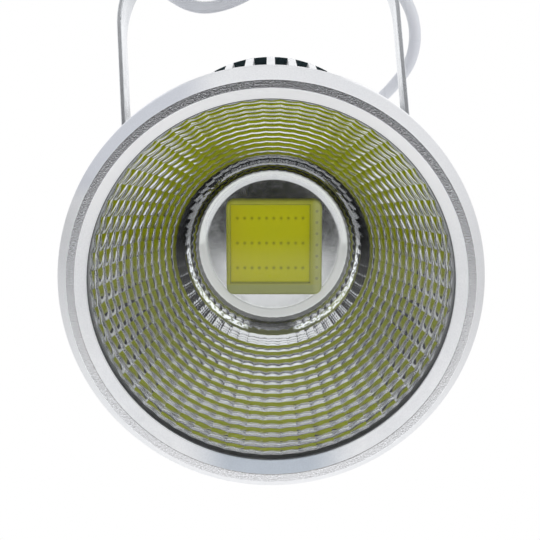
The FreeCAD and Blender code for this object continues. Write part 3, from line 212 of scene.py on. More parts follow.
class Graph:
    """A node tree built from its output backwards."""

    def __init__(self, tree, output_kind):
        tree.nodes.clear()
        self.tree = tree
        self.output = tree.nodes.new("ShaderNode" + output_kind)

    def feed(self, socket, value):
        if isinstance(value, Field):
            self.tree.links.new(value.socket, socket)
        elif socket.type == "RGBA":
            socket.default_value = (*value, 1.0)
        else:
            socket.default_value = value

    def node(self, kind, inputs=None, **settings):
        node = self.tree.nodes.new("ShaderNode" + kind)
        for key, value in settings.items():
            setattr(node, key, value)
        for key, value in (inputs or {}).items():
            self.feed(node.inputs[key], value)
        return node

    def add(self, kind, inputs=None, output=0, **settings):
        return Field(self, self.node(kind, inputs, **settings).outputs[output])

    def finish(self, shader):
        self.feed(self.output.inputs["Surface"], shader)

    def principled(self, look):
        self.finish(self.add("BsdfPrincipled", look))

    def position(self, in_head=False):
        """Object coordinates in mm, in the head frame if asked."""
        place = self.add("TexCoord", output="Object")
        if in_head:
            place = self.add("Mapping", {"Vector": place, "Rotation": ROW_TO_HEAD.to_euler(),
                                         "Location": ROW_TO_HEAD.to_translation()})
        return self.add("VectorMath", {0: place, "Scale": 1.0 / MM}, operation="SCALE")

    def head_position(self):
        """Head coordinates in mm: the vector, then x, y (depth) and z."""
        place = self.position(in_head=True)
        parts = self.node("SeparateXYZ", {0: place}).outputs
        return (place, *(Field(self, part) for part in parts))

    def noise(self, place, scale, detail=2.0, rough=0.5):
        return self.add("TexNoise", {"Vector": place, "Scale": scale, "Detail": detail,
                                     "Roughness": rough}, output="Fac")

    def mix(self, factor, first, second, blend="MIX"):
        """Colour mix."""
        return self.add("Mix", {"Factor": factor, 6: first, 7: second}, output=2,
                        data_type="RGBA", blend_type=blend)

    def multiply(self, first, second, factor=1.0):
        return self.mix(factor, first, second, blend="MULTIPLY")

    def mix_value(self, factor, first, second):
        return self.add("Mix", {"Factor": factor, 2: first, 3: second})

    def mix_shader(self, factor, first, second):
        return self.add("MixShader", {0: factor, 1: first, 2: second})

    def bump(self, height, depth):
        """Normal from a height field; depth is in mm."""
        return self.add("Bump", {"Height": height, "Strength": 1.0, "Distance": depth * MM},
                        output="Normal")

    def seen(self):
        """1 for rays from the camera."""
        return self.add("LightPath", output="Is Camera Ray")


def radius_of(x, z):
    return (x * x + z * z).sqrt()


MATERIALS = {}


def new_material(name):
    material = bpy.data.materials.new(name)
    material.use_nodes = True
    MATERIALS[name] = material
    return Graph(material.node_tree, "OutputMaterial")


# ------------------------------------------------------------------ bezel material
FLAT_INNER = 49.98         # radius inside which the bezel is its inner bevel and bore
FLAT_OUTER = 52.1          # radius where the flat front meets the outer bevel


def bezel_material():
    """Blasted flat ring between turned bevels with very fine turning lines."""
    g = new_material("bezel_aluminium")
    place, x, y, z = g.head_position()
    radius = radius_of(x, z)
    flat = y.below(0.05) * radius.above(FLAT_INNER)
    inner = radius.below(FLAT_INNER)

    # colour: soft patches, speckled on the flat
    patches = g.noise(place, scale=0.05, detail=3.0, rough=0.55).linear(start=0.35, end=0.65)
    grain = g.noise(place, scale=2.6, detail=2.0, rough=0.6)
    base = g.mix(patches, (0.93, 0.935, 0.95), (0.90, 0.91, 0.93))
    speckled = g.mix(grain.linear(start=0.32, end=0.68), (0.50, 0.50, 0.51), (0.90, 0.90, 0.91))
    soft = g.mix(grain.linear(), (0.90, 0.90, 0.905), (1.0, 1.0, 1.0))
    colour = g.multiply(base, g.mix(flat, soft, speckled))
    # faint wear along the flat's outer edge
    wear_patches = g.noise(place, scale=0.35, detail=4.0, rough=0.7)
    wear = (abs(radius - FLAT_OUTER).fade(start=0.0, end=0.35)
            * wear_patches.linear(low=0.0, high=0.5, start=0.45, end=0.62))
    colour = g.mix(wear, colour, (0.93, 0.94, 0.95))
    # painted shade: cooler and darker at the bottom of the inner side, darker and bluer at the upper
    # left of the outer bevel
    bottom = inner * abs(x).fade(start=9.0, end=24.0) * z.below(0.0)
    colour = g.multiply(colour, (0.56, 0.61, 0.67), factor=bottom)
    upper_left_painted_shade = (radius.above(FLAT_OUTER) * z.rise(start=20.0, end=27.0)
                  * x.rise(start=-12.0, end=-24.0))
    colour = g.multiply(colour, (0.76, 0.78, 0.83), factor=upper_left_painted_shade)

    # painted light: a faint glow on the inner side towards its top and on the flat towards its bottom
    painted_glow = (inner * z.rise(start=-14.0, end=46.0, high=0.20)
            + flat * z.rise(start=34.0, end=-40.0, high=0.13))
    turned_rough = g.noise(place, scale=0.4, detail=3.0, rough=0.6).linear(low=0.30, high=0.38)
    blasted_rough = grain.linear(low=0.18, high=0.28)

    # turning lines are noise squeezed across the radius and depth
    line_density, line_drift = 3.2, 1.2
    line_place = g.add("CombineXYZ", {0: radius * line_density, 1: y * line_density,
                                      2: z.arctan2(x) * line_drift})
    lines = g.noise(line_place, scale=1.0)
    blasted_extra, plain_grain, line_height = 0.055, 0.012, 0.010
    height = grain * (flat * blasted_extra + plain_grain) + lines * line_height

    metal, flat_gain, inner_loss = 0.62, 0.38, 0.18
    g.principled({
        "Base Color": colour,
        "Metallic": (metal + flat * flat_gain) - inner * inner_loss,
        "Roughness": g.mix_value(flat, turned_rough, blasted_rough),
        "Emission Color": (1.0, 0.99, 0.965),
        "Emission Strength": painted_glow,
        "Normal": g.bump(height, depth=1.0)})


# ------------------------------------------------------------------ plain finishes
# two blended colours, metallic, roughness range, grain scale, grain depth (mm), patch scale
FINISHES = {
    "silver_aluminium": ((0.80, 0.81, 0.825), (0.75, 0.76, 0.78), 0.85, 0.34, 0.44, 1.4, 0.02, 0.04),
    "yoke_steel": ((0.70, 0.715, 0.74), (0.64, 0.655, 0.68), 1.0, 0.20, 0.30, 1.2, 0.012, 0.03),
    "steel": ((0.66, 0.66, 0.67), (0.58, 0.58, 0.60), 1.0, 0.20, 0.34, 2.0, 0.01, 0.2),
    "dark_steel": ((0.08, 0.08, 0.085), (0.05, 0.05, 0.055), 0.9, 0.35, 0.5, 2.0, 0.01, 0.2),
    "adapter_plastic": ((0.70, 0.71, 0.72), (0.66, 0.67, 0.69), 0.0, 0.42, 0.55, 1.3, 0.05, 0.05),
    "grey_plastic": ((0.40, 0.41, 0.43), (0.36, 0.37, 0.39), 0.0, 0.40, 0.55, 1.6, 0.03, 0.1),
    "white_plastic": ((0.80, 0.80, 0.77), (0.76, 0.76, 0.72), 0.0, 0.45, 0.6, 1.6, 0.03, 0.1),
    "nylon": ((0.82, 0.82, 0.79), (0.76, 0.76, 0.73), 0.0, 0.4, 0.55, 1.6, 0.02, 0.2),
    "black_rubber": ((0.030, 0.031, 0.033), (0.045, 0.046, 0.05), 0.0, 0.55, 0.75, 2.0, 0.03, 0.2),
    "clear_silicone": ((0.10, 0.105, 0.12), (0.14, 0.145, 0.16), 0.0, 0.30, 0.5, 2.0, 0.02, 0.2),
    "grey_pad": ((0.30, 0.30, 0.32), (0.26, 0.26, 0.28), 0.0, 0.7, 0.85, 1.0, 0.03, 0.3),
    "green_board": ((0.030, 0.16, 0.070), (0.020, 0.12, 0.055), 0.0, 0.25, 0.40, 1.0, 0.02, 0.12),
    "ferrite": ((0.035, 0.035, 0.04), (0.06, 0.06, 0.065), 0.0, 0.5, 0.7, 1.5, 0.03, 0.3),
    "capacitor_sleeve": ((0.012, 0.02, 0.06), (0.02, 0.03, 0.08), 0.0, 0.2, 0.35, 1.0, 0.01, 0.2),
    "black_plastic": ((0.02, 0.02, 0.022), (0.03, 0.03, 0.032), 0.0, 0.4, 0.55, 1.5, 0.02, 0.3),
    "red_wire": ((0.42, 0.02, 0.015), (0.34, 0.015, 0.012), 0.0, 0.3, 0.45, 1.5, 0.01, 0.3),
    "brass_contact": ((0.80, 0.56, 0.22), (0.70, 0.47, 0.17), 1.0, 0.15, 0.3, 1.5, 0.01, 0.3),
    "cable_jacket": ((0.90, 0.92, 0.975), (0.87, 0.89, 0.955), 0.0, 0.40, 0.5, 0.8, 0.03, 0.05),
    "rear_cover_aluminium": ((0.80, 0.81, 0.825), (0.75, 0.76, 0.78), 0.85, 0.34, 0.44,
                             1.4, 0.02, 0.06),
    "heat_sink_aluminium": ((0.93, 0.935, 0.945), (0.89, 0.895, 0.91), 0.55, 0.34, 0.44,
                            1.4, 0.02, 0.06),
}
# specks: how far the grain lightens and darkens the colour; stretch: grain scale along each axis
FINISH_EXTRAS = {
    "silver_aluminium": {"specks": 0.05},
    "yoke_steel": {"specks": 0.04, "stretch": (4.0, 4.0, 0.12)},
    "adapter_plastic": {"specks": 0.03},
}


def finish_look(g, colour, colour2, metallic, rough, rough2, grain, grain_depth, patch,
                stretch=None, specks=0.0):
    """Principled inputs with colour patches, fine grain and uneven roughness."""
    place = g.position()
    grain_place = place
    if stretch:
        grain_place = g.add("Mapping", {"Vector": place, "Scale": stretch})
    fine = g.noise(grain_place, scale=grain, detail=3.0, rough=0.65)
    patches = g.noise(place, scale=patch, detail=3.0, rough=0.55)
    mixed = g.mix(patches.linear(start=0.35, end=0.65), colour, colour2)
    if specks:
        shade = fine.linear(low=1.0 - specks, high=1.0 + specks)
        mixed = g.multiply(mixed, g.add("CombineColor", {0: shade, 1: shade, 2: shade}))
    uneven = g.noise(place, scale=patch * 6, detail=4.0, rough=0.6)
    return {"Base Color": mixed, "Metallic": metallic, "IOR": 1.45,
            "Roughness": uneven.linear(low=rough, high=rough2),
            "Normal": g.bump(fine, depth=grain_depth)}


def paint_front_shade(g, look):
    """Paints shade on the part of the rear cover in front of a depth: a dark, dull skin standing in
    for the shade between the fins.
    """
    colour = (0.020, 0.042, 0.050)
    place, x, y, z = g.head_position()
    front = y.fade(start=205.15, end=205.35)
    patches = g.noise(place, scale=0.5, detail=3.0, rough=0.6).linear()
    painted_shade = g.mix(patches, colour, tuple(c * 1.35 for c in colour))
    look["Base Color"] = g.mix(front, look["Base Color"], painted_shade)
    look["Metallic"] = g.mix_value(front, look["Metallic"], 0.2)
    look["Roughness"] = g.mix_value(front, look["Roughness"], 0.5)


def finish_materials():
    for name, finish in FINISHES.items():
        g = new_material(name)
        look = finish_look(g, *finish, **FINISH_EXTRAS.get(name, {}))
        if name == "rear_cover_aluminium":
            # painted shade on the rear cover's front face between the fins
            paint_front_shade(g, look)
        g.principled(look)


# ------------------------------------------------------------------ mirror materials
def mirror_look(g, colour, rough, rough2, wave, boost=0.0):
    """Principled inputs of a mirror. wave is the depth of its unevenness in mm; boost brightens
    what the mirror hands on to rays that don't come from the camera."""
    place = g.position()
    patches = g.noise(place, scale=0.08, detail=3.0, rough=0.6).linear(start=0.35, end=0.65)
    mixed = g.mix(patches, colour, tuple(c * 0.93 for c in colour))
    if boost:
        brighter = tuple(min(c * (1 + boost), 1.0) for c in colour)
        mixed = g.mix(g.seen(), brighter, mixed)
    uneven = g.noise(place, scale=0.6, detail=4.0, rough=0.7)
    return {"Base Color": mixed, "Metallic": 1.0,
            "Roughness": uneven.linear(low=rough, high=rough2, start=0.35, end=0.7),
            "Normal": g.bump(g.noise(place, scale=0.35), depth=wave)}


def neck_shade(g):
    """Painted shade: reflectance of the cup's throat, less at the top and deep in the neck, for
    camera rays.
    """
    place, x, y, z = g.head_position()
    # each part is a mask times how much it darkens
    deep = y.rise(start=56.7, end=57.3, high=0.80)
    bead_top = z.rise(start=3.0, end=10.0) * 0.8
    bead_bottom = (abs(x).fade(start=5.0, end=8.5, level=0.85)
                   * z.fade(start=-10.0, end=-5.0))
    beads = y.rise(start=54.6, end=55.2) * bead_top.maximum(bead_bottom)
    last_row = (y.band(opens=(50.9, 51.3), closes=(54.9, 55.2))
                * (z.rise(start=-9.0, end=7.0) * 0.80))
    row_before = (y.band(opens=(45.5, 49.5), closes=(51.0, 51.4))
                  * (z.rise(start=-16.0, end=-4.0) * 0.55))
    dark = deep.maximum(beads).maximum(last_row.maximum(row_before))
    return 1.0 - dark * g.seen()


def reflector_material():
    g = new_material("mirror_aluminium")
    look = mirror_look(g, (0.76, 0.765, 0.78), rough=0.02, rough2=0.05, wave=0.012, boost=0.20)
    shaded = g.multiply(look["Base Color"], neck_shade(g))
    place, x, y, z = g.head_position()
    # painted light: brighter towards the cup's top and bottom
    painted_light_gain = (0.92 + z.rise(start=4.0, end=34.0, high=0.30)) + z.rise(start=-20.0, end=-44.0, high=0.26)
    look["Base Color"] = g.add("VectorMath", {0: shaded, "Scale": painted_light_gain}, operation="SCALE")
    # painted glints: emission at the lower sides of the last row, for camera rays
    band = y.band(opens=(52.1, 52.5), closes=(54.4, 54.8))
    lower_sides = z.rise(start=4.0, end=-5.0) * abs(x).rise(start=6.0, end=8.0)
    painted_glints = g.noise(place, scale=0.9, detail=2.0, rough=0.6)
    painted_glints = painted_glints.linear(low=0.15, high=1.0, start=0.42, end=0.56)
    painted_glint_strength = 1.05
    look["Emission Color"] = (0.93, 0.97, 1.0)
    look["Emission Strength"] = band * lower_sides * (painted_glints * painted_glint_strength) * g.seen()
    g.principled(look)


def plate_material():
    """Bright in the middle, with a painted highlight on the rolled rim: white, less metallic and
    glowing.
    """
    g = new_material("mirror_plate")
    look = mirror_look(g, (0.66, 0.66, 0.67), rough=0.05, rough2=0.10, wave=0.002, boost=0.42)
    place, x, y, z = g.head_position()
    radius = radius_of(x - LEAN[0], z - LEAN[1])
    # the rim starts further out at the top
    painted_rim_highlight = (radius - z.rise(start=-3.0, end=9.0, high=1.7)).rise(start=18.3, end=19.7)
    lower = z.fade(start=-10.0, end=6.0)
    # painted highlight: the rim turns white, loses metal and glows, more towards the bottom
    metal_loss, painted_rim_glow, painted_lower_glow = 0.75, 0.20, 0.12
    look["Metallic"] = 1.0 - painted_rim_highlight * metal_loss
    look["Base Color"] = g.mix(painted_rim_highlight, look["Base Color"], (0.96, 0.97, 0.96))
    look["Emission Color"] = look["Base Color"]
    look["Emission Strength"] = painted_rim_highlight * (painted_rim_glow + lower * painted_lower_glow)
    g.principled(look)


def flange_material():
    g = new_material("mirror_flange")
    g.principled(mirror_look(g, (0.86, 0.87, 0.88), rough=0.40, rough2=0.50, wave=0.01))


# ------------------------------------------------------------------ lens, phosphor and gel
LIT_CENTRE = (-0.25, 0.25)                   # x, z of the phosphor's middle
MARK_ROW_PITCH = 7.35                        # between rows of bond marks
MARK_PITCH = 2.12                            # between marks in a row
MARKS_HALF_WIDTH = 10.4
PAD_PITCH = 3.3                              # between dark pads under the gel's right margin
PAD_X = 13.3
PADS_HALF_HEIGHT = 11.0


def glass_material():
    """See-through with a faint, uneven reflection."""
    g = new_material("lens_glass")
    clear = g.add("BsdfTransparent", {0: (0.985, 0.99, 0.988)})
    gloss = g.add("BsdfGlossy", {"Roughness": 0.02})
    patches = g.noise(g.position(), scale=0.03).linear(low=0.7, high=1.0)
    g.finish(g.mix_shader(g.add("Fresnel", {"IOR": 1.38}) * patches, clear, gloss))


def phosphor_material():
    """Yellow phosphor with rows of fine bond marks."""
    g = new_material("phosphor")
    place, head_x, head_y, head_z = g.head_position()
    x = head_x - LIT_CENTRE[0]
    z = head_z - LIT_CENTRE[1]
    # distances from the nearest mark; the whole pitches added keep the values positive
    mark_z = (z + MARK_ROW_PITCH * 10).pingpong(MARK_ROW_PITCH / 2)
    mark_x = (x + (MARK_PITCH * 20 + MARK_PITCH / 2)).pingpong(MARK_PITCH / 2)
    squash, line_level, mark_level = 0.95, 0.05, 0.50
    distance = ((mark_z * squash) ** 2.0 + mark_x ** 2.0).sqrt()
    dot = distance.fade(start=0.22, end=0.66)
    line = mark_z.fade(start=0.10, end=0.30) * line_level
    marks = dot.maximum(line) * abs(x).below(MARKS_HALF_WIDTH)

    patches = g.noise(place, scale=0.10, detail=3.0, rough=0.6).linear()
    colour = g.mix(patches, (0.82, 0.78, 0.014), (0.77, 0.76, 0.020))
    colour = g.mix(x.fade(start=-12.0, end=-4.0, level=0.30), colour, (0.82, 0.66, 0.05))
    from_centre = abs(x).maximum(abs(z))
    edge = from_centre.rise(start=10.9, end=11.5, high=0.35)
    colour = g.mix(edge, colour, (0.60, 0.58, 0.08))
    colour = g.mix(marks * mark_level, colour, (0.18, 0.17, 0.02))
    # painted shade: darker and greener where it's seen in the mirrors
    colour = g.multiply(colour, (0.60, 0.69, 0.60), factor=1.0 - g.seen())
    g.principled({
        "Base Color": colour,
        # painted light: a faint glow in the phosphor's own colour
        "Emission Color": colour,
        "Emission Strength": 0.15,
        "Roughness": 0.45,
        "Specular IOR Level": 0.25,
        "Normal": g.bump(g.noise(place, scale=0.25), depth=0.01)})


def gel_material():
    """Clear over the phosphor, yellow round it, with small dark pads under the right margin."""
    g = new_material("gel")
    place, x, y, z = g.head_position()
    pad_z = (z + PAD_PITCH * 10).pingpong(PAD_PITCH / 2)
    distance = (pad_z ** 2.0 + (x - PAD_X) ** 2.0).sqrt()
    pads = distance.fade(start=0.25, end=0.75) * abs(z).below(PADS_HALF_HEIGHT)
    from_centre = abs(x - LIT_CENTRE[0]).maximum(abs(z - LIT_CENTRE[1]))
    margin = from_centre.rise(start=11.35, end=11.85)

    tint = g.mix(g.noise(place, scale=0.2), (0.72, 0.72, 0.06), (0.74, 0.75, 0.10))
    bottom = (z - LIT_CENTRE[1]).fade(start=-12.4, end=-11.6)
    tint = g.mix(bottom, tint, (0.68, 0.72, 0.22))
    right = (x - LIT_CENTRE[0]).rise(start=11.8, end=13.6, high=0.8)
    tint = g.mix(right, tint, (0.92, 0.95, 0.34))
    pad_tint, body, margin_body, pad_body = 0.45, 0.02, 0.86, 0.5
    cloudy = g.add("BsdfPrincipled", {
        "Base Color": g.mix(pads * pad_tint, tint, (0.22, 0.22, 0.16)),
        "Roughness": 0.35,
        "Normal": g.bump(g.noise(place, scale=0.25), depth=0.02)})
    clear = g.add("BsdfTransparent", {0: (0.97, 0.975, 0.86)})
    opacity = (body + margin * margin_body) + pads * pad_body
    g.finish(g.mix_shader(opacity.minimum(1.0), clear, cloudy))


# ------------------------------------------------------------------ material of each CAD piece
PIECES_IN = {
    "bezel_aluminium": "front_bezel",
    "clear_silicone": "front_gasket",
    "lens_glass": "glass_lens",
    "black_rubber": "rear_gasket cover_seal gland_seal",
    "mirror_aluminium": "reflector",
    "silver_aluminium": "front_housing swivel_collar",
    "mirror_plate": "led_plate",
    "phosphor": "led_phosphor",
    "gel": "led_gel",
    "grey_pad": "thermal_pad",
    "steel": "led_screws rear_cover_screws tilt_washers tilt_spring_washers tilt_screws "
             "pan_wave_washer pan_nut swivel_stem stem_nut adapter_screws lock_latch",
    "heat_sink_aluminium": "heat_sink",
    "dark_steel": "housing_screws",
    "white_plastic": "driver_sleeve terminal_block",
    "green_board": "driver_board",
    "ferrite": "driver_transformer driver_choke",
    "capacitor_sleeve": "driver_capacitors",
    "black_plastic": "driver_switches",
    "red_wire": "led_leads",
    "rear_cover_aluminium": "rear_cover",
    "grey_plastic": "gland_body gland_nut gland_cap lock_lever contact_lever cord_grip",
    "yoke_steel": "yoke_bracket",
    "nylon": "tilt_friction_washers pan_friction_washer",
    "adapter_plastic": "adapter_housing adapter_cover lock_post contact_post",
    "brass_contact": "contact_blades",
    "cable_jacket": "supply_cable",
}


def dress_pieces():
    material_of = {piece: material for material, names in PIECES_IN.items()
                   for piece in names.split()}
    for name, ob in pieces.items():
        ob.data.materials.clear()
        ob.data.materials.append(MATERIALS[material_of[name]])


# ------------------------------------------------------------------ reflector
COLUMNS = 60
COLUMN_STEPS = 6                             # segments across a facet
ROW_STEPS = 6                                # segments along a facet
CUP_START, CUP_END = 5.7, 54.6               # depths of the cup's curve
CUP_MOUTH, CUP_NECK = 46.8, 23.5             # its radii at those depths
CUP_BULGE = 0.5                              # outwards, halfway down
FLANGE_RADIUS = 48.6
SKIN = 0.9                                   # wall thickness
LEAN_DEPTH, LEAN_LIMIT = 52.0, 1.05          # depth over which LEAN builds up, and its most
# depths of the row boundaries
ROWS = [5.72, 9.02, 13.29, 17.03, 20.52, 23.99, 27.68, 31.11, 34.47, 37.66, 40.83, 43.80, 46.47,
        48.63, 51.1, 55.0]
FLATTENED = {51.1: 25.15, 55.0: 23.8}        # radii at the last boundaries, towards the neck
FIRST_ROW_TOP = 5.74                         # just behind the flange's front
TALL_ROWS = 2                                # rows at the back with flatter pillows
# pillows: bulge along a facet, its skew along the row, extra bulge across at the row's middle,
# bulge across (ordinary and tall rows), and the share of the lengthwise bulge a tall row has
SAG_ALONG, SKEW, SAG_MIDDLE = 0.115, -0.35, 0.08
SAG_ACROSS, SAG_ACROSS_TALL, TALL_SHARE = 0.19, 0.16, 0.25
LEDGE, LEDGE_ROWS = 0.10, 8.0                # step between rows, dying out over this many
BEAD = 0.30                                  # bulge of a full neck bead
# neck: depth, radius, share of a full bead, sharp
NECK = [(55.25, 23.55, 0.7, False), (55.9, 22.95, 1.0, False), (56.6, 22.55, 0.9, False),
        (57.0, 22.35, 0.6, True), (57.8, 22.12, 0.5, False), (58.7, 21.88, 0.4, False),
        (59.45, 21.68, 0.25, True)]
OUTER_DEPTHS = (56.0, 52.0, 46.0, 40.0, 33.0, 26.0, 19.0, 12.0, 8.0, 6.45)
OUTER_NECK = 23.3                            # outer skin's radius behind the cup, less SKIN


def cup_radius(depth):
    share = (min(depth, CUP_END) - CUP_START) / (CUP_END - CUP_START)
    squared = CUP_MOUTH ** 2 + (CUP_NECK ** 2 - CUP_MOUTH ** 2) * share
    return math.sqrt(squared) + CUP_BULGE * math.sin(math.pi * share)


def reflector_mesh():
    """Columns of pillows, each a little convex both ways, with cusps between columns and rows.
    Returns vertices in the head frame, faces and sharp vertex pairs."""
    around = COLUMNS * COLUMN_STEPS
    angles = -math.pi / 2 - math.pi / COLUMNS + np.arange(around) * 2 * math.pi / around
    across = (np.arange(around) % COLUMN_STEPS) / COLUMN_STEPS * 2 - 1
    arch = 1 - across ** 2
    verts, rings, sharp_rings, column_rings = [], [], [], []

    def ring(depth, radii, sharp=False, column=False):
        start = len(verts)
        lean = min(max((depth - CUP_START) / LEAN_DEPTH, 0.0), LEAN_LIMIT)
        for angle, radius in zip(angles, np.broadcast_to(radii, around)):
            verts.append((radius * math.cos(angle) + LEAN[0] * lean, depth,
                          radius * math.sin(angle) + LEAN[1] * lean))
        rings.append(start)
        if sharp:
            sharp_rings.append(start)
        if column:
            column_rings.append(start)

    # flange
    ring(6.45, FLANGE_RADIUS, sharp=True)
    ring(5.72, FLANGE_RADIUS, sharp=True)
    ring(5.70, 47.4)
    # faceted rows
    for i, (top, bottom) in enumerate(zip(ROWS, ROWS[1:])):
        tall = i >= len(ROWS) - 1 - TALL_ROWS
        top_radius, bottom_radius = (FLATTENED.get(d, cup_radius(d)) for d in (top, bottom))
        if i == 0:
            top = FIRST_ROW_TOP
        for j in range(ROW_STEPS + 1):
            along = j / ROW_STEPS * 2 - 1
            radius = (top_radius + (bottom_radius - top_radius) * j / ROW_STEPS
                      + LEDGE * max(0.0, 1 - i / LEDGE_ROWS) * along / 2)
            dome = (1 - along ** 2) * (1 + SKEW * along) * (TALL_SHARE if tall else 1.0)
            sag = (SAG_ACROSS_TALL if tall else SAG_ACROSS) + SAG_MIDDLE * dome
            ring(top + (bottom - top) * j / ROW_STEPS,
                 radius - radius / CUP_MOUTH * arch * sag - SAG_ALONG * dome,
                 sharp=j in (0, ROW_STEPS), column=True)
    # neck with shallow beads, then its rear edge
    for depth, radius, share, sharp in NECK:
        ring(depth, radius - BEAD * share * arch, sharp=sharp, column=True)
    ring(59.55, 21.70, sharp=True)
    ring(59.6, 22.4, sharp=True)
    # plain outer skin
    for depth in OUTER_DEPTHS:
        ring(depth, (cup_radius(depth) if depth < CUP_END else OUTER_NECK) + SKIN)

    faces = []
    for a, b in zip(rings, rings[1:] + rings[:1]):
        for k in range(around):
            k2 = (k + 1) % around
            faces.append((a + k, b + k, b + k2, a + k2))
    sharp_pairs = [(start + k, start + (k + 1) % around)
                   for start in sharp_rings for k in range(around)]
    for a, b in zip(column_rings, column_rings[1:]):
        sharp_pairs += [(a + k, b + k) for k in range(0, around, COLUMN_STEPS)]
    return np.array(verts), faces, sharp_pairs


def build_reflector():
    verts, faces, sharp_pairs = reflector_mesh()
    ob = mesh_object("reflector_facets", head(verts), faces, MATERIALS["mirror_aluminium"], "head")
    mark_sharp(ob.data, sharp_pairs)
    ob.data.materials.append(MATERIALS["mirror_flange"])
    # the flange's three rings and the first facet ring
    flange_verts = COLUMNS * COLUMN_STEPS * 4
    for polygon in ob.data.polygons:
        if max(polygon.vertices) < flange_verts:
            polygon.material_index = 1
    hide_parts("reflector")


# ------------------------------------------------------------------ turned bezel
BEZEL_OUTER = 55.0
BEZEL_BORE = 49.95
BEZEL_DEPTH = 15.0
LIP_RADIUS = 47.15
LIP_DEPTH = 3.4
# radius, depth, corner rounding
BEZEL_PROFILE = [
    (50.05, 0.0, 0.12), (FLAT_OUTER, 0.0, 0.15), (BEZEL_OUTER, 5.5, 0.8), (BEZEL_OUTER, 12.5, 0.4),
    (53.4, BEZEL_DEPTH, 0.2), (BEZEL_BORE, BEZEL_DEPTH, 0.1), (BEZEL_BORE, LIP_DEPTH, 0.1),
    (LIP_RADIUS, LIP_DEPTH, 0.15), (LIP_RADIUS, 3.0, 0.25)]


def rounded(profile, steps=4):
    """Closed profile with each corner cut to a short arc."""
    points = np.array([row[:2] for row in profile])
    out = []
    for i, point in enumerate(points):
        rounding = profile[i][2]
        back, ahead = points[i - 1] - point, points[(i + 1) % len(points)] - point
        back, ahead = back / np.linalg.norm(back), ahead / np.linalg.norm(ahead)
        for t in np.linspace(0, 1, steps + 1):
            out.append(tuple(point + rounding * ((1 - t) ** 2 * back + t ** 2 * ahead)))
    return out


def build_bezel():
    verts, faces = lathe(rounded(BEZEL_PROFILE), segments=300)
    ob = mesh_object("bezel_turned", head(verts), faces, MATERIALS["bezel_aluminium"], "head",
                     sharp_angle=5)
    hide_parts("front_bezel")


# ------------------------------------------------------------------ LED plate with a rolled edge
# radius, depth
PLATE_PROFILE = [
    (0, 60.0), (8, 60.0), (15, 60.0), (19.0, 60.0), (19.6, 59.985), (20.2, 59.93), (20.7, 59.84),
    (21.1, 59.73), (21.35, 59.64), (21.5, 59.62), (22.0, 59.66), (22.6, 59.8), (26.5, 59.95),
    (26.6, 60.05), (26.6, 61.5), (0, 61.5)]
PLATE_LEAN_RADIUS = 24.0                     # LEAN shifts only what lies within this


def build_plate():
    verts, faces = lathe(PLATE_PROFILE, segments=180)
    near = np.hypot(verts[:, 0], verts[:, 2]) < PLATE_LEAN_RADIUS
    verts[near, 0] += LEAN[0]
    verts[near, 2] += LEAN[1]
    ob = mesh_object("led_plate_mirror", head(verts), faces, MATERIALS["mirror_plate"], "head",
                     sharp_angle=40)
    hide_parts("led_plate")


# ------------------------------------------------------------------ cable in two lengths
CABLE_RADIUS = 2.25
CABLE_X, CABLE_Z = 8, -17.5                  # where it runs in the head, unclocked head frame
CABLE_START, CABLE_EXIT = 193.0, 224.7       # depths of its end inside and where it bends free
CABLE_STRAIGHT = 9                           # on past the exit before it bends
# spline poles from the head round to the adapter, row frame
CABLE_POLES = [
    (11.0, 109.5, -104.5), (19.0, 118.0, -92.0), (32.5, 108.0, -79.5), (41.0, 89.0, -76.2),
    (46.9, 72.0, -75.85), (51.6, 60.0, -74.6), (56.4, 50.0, -71.3), (58.4, 42.0, -65.2),
    (57.8, 36.3, -58.2), (54.8, 32.8, -51.0), (47.5, 30.3, -42.0), (36.0, 28.5, -36.6),
    (22.0, 28.0, -35.8), (8.0, 27.7, -41.2), (-6.76, 27.0, -50.4), (-20.5, 25.0, -54.3),
    (-29.5, 21.0, -51.4), (-37.0, 17.6, -45.2), (-44.0, 11.0, -42.6), (-48.0, 2.5, -43.6),
    (-48.0, 0.0, -39.5), (-48.0, 0.0, -33.5)]
CABLE_END = (-48.0, 0.0, -20.0)              # inside the adapter
CABLE_SPLIT = (57.6, 42.0, -65.0)            # the two lengths meet nearest this


def bspline(poles, count=420, degree=3):
    """Clamped uniform B-spline through its first and last poles, by de Boor's algorithm."""
    poles = np.asarray(poles, float)
    spans = len(poles) - degree
    knots = np.concatenate([[0] * degree, np.linspace(0, 1, spans + 1), [1] * degree])
    out = []
    for u in np.linspace(0, 1, count):
        span = np.searchsorted(knots, u, side="right") - 1
        span = min(max(span, degree), len(poles) - 1)
        work = [poles[j + span - degree].copy() for j in range(degree + 1)]
        for level in range(1, degree + 1):
            for j in range(degree, level - 1, -1):
                low = knots[j + span - degree]
                width = knots[j + 1 + span - level] - low
                share = 0.0 if width == 0 else (u - low) / width
                work[j] = (1 - share) * work[j - 1] + share * work[j]
        out.append(work[degree])
    return np.array(out)


def cable_path():
    start, leave = (head([[CABLE_X, depth, CABLE_Z]], clocked=False)[0] / MM
                    for depth in (CABLE_START, CABLE_EXIT))
    axis = np.array([0.0, math.cos(TILT), math.sin(TILT)])
    curve = bspline([leave, leave + axis * CABLE_STRAIGHT, *CABLE_POLES])
    path = np.vstack([np.linspace(start, leave, 20)[:-1], curve,
                      np.linspace(CABLE_POLES[-1], CABLE_END, 10)[1:]])
    # even steps along its length
    length = np.r_[0, np.cumsum(np.linalg.norm(np.diff(path, axis=0), axis=1))]
    stations = np.linspace(0, length[-1], 320)
    return np.stack([np.interp(stations, length, path[:, k]) for k in range(3)], 1)


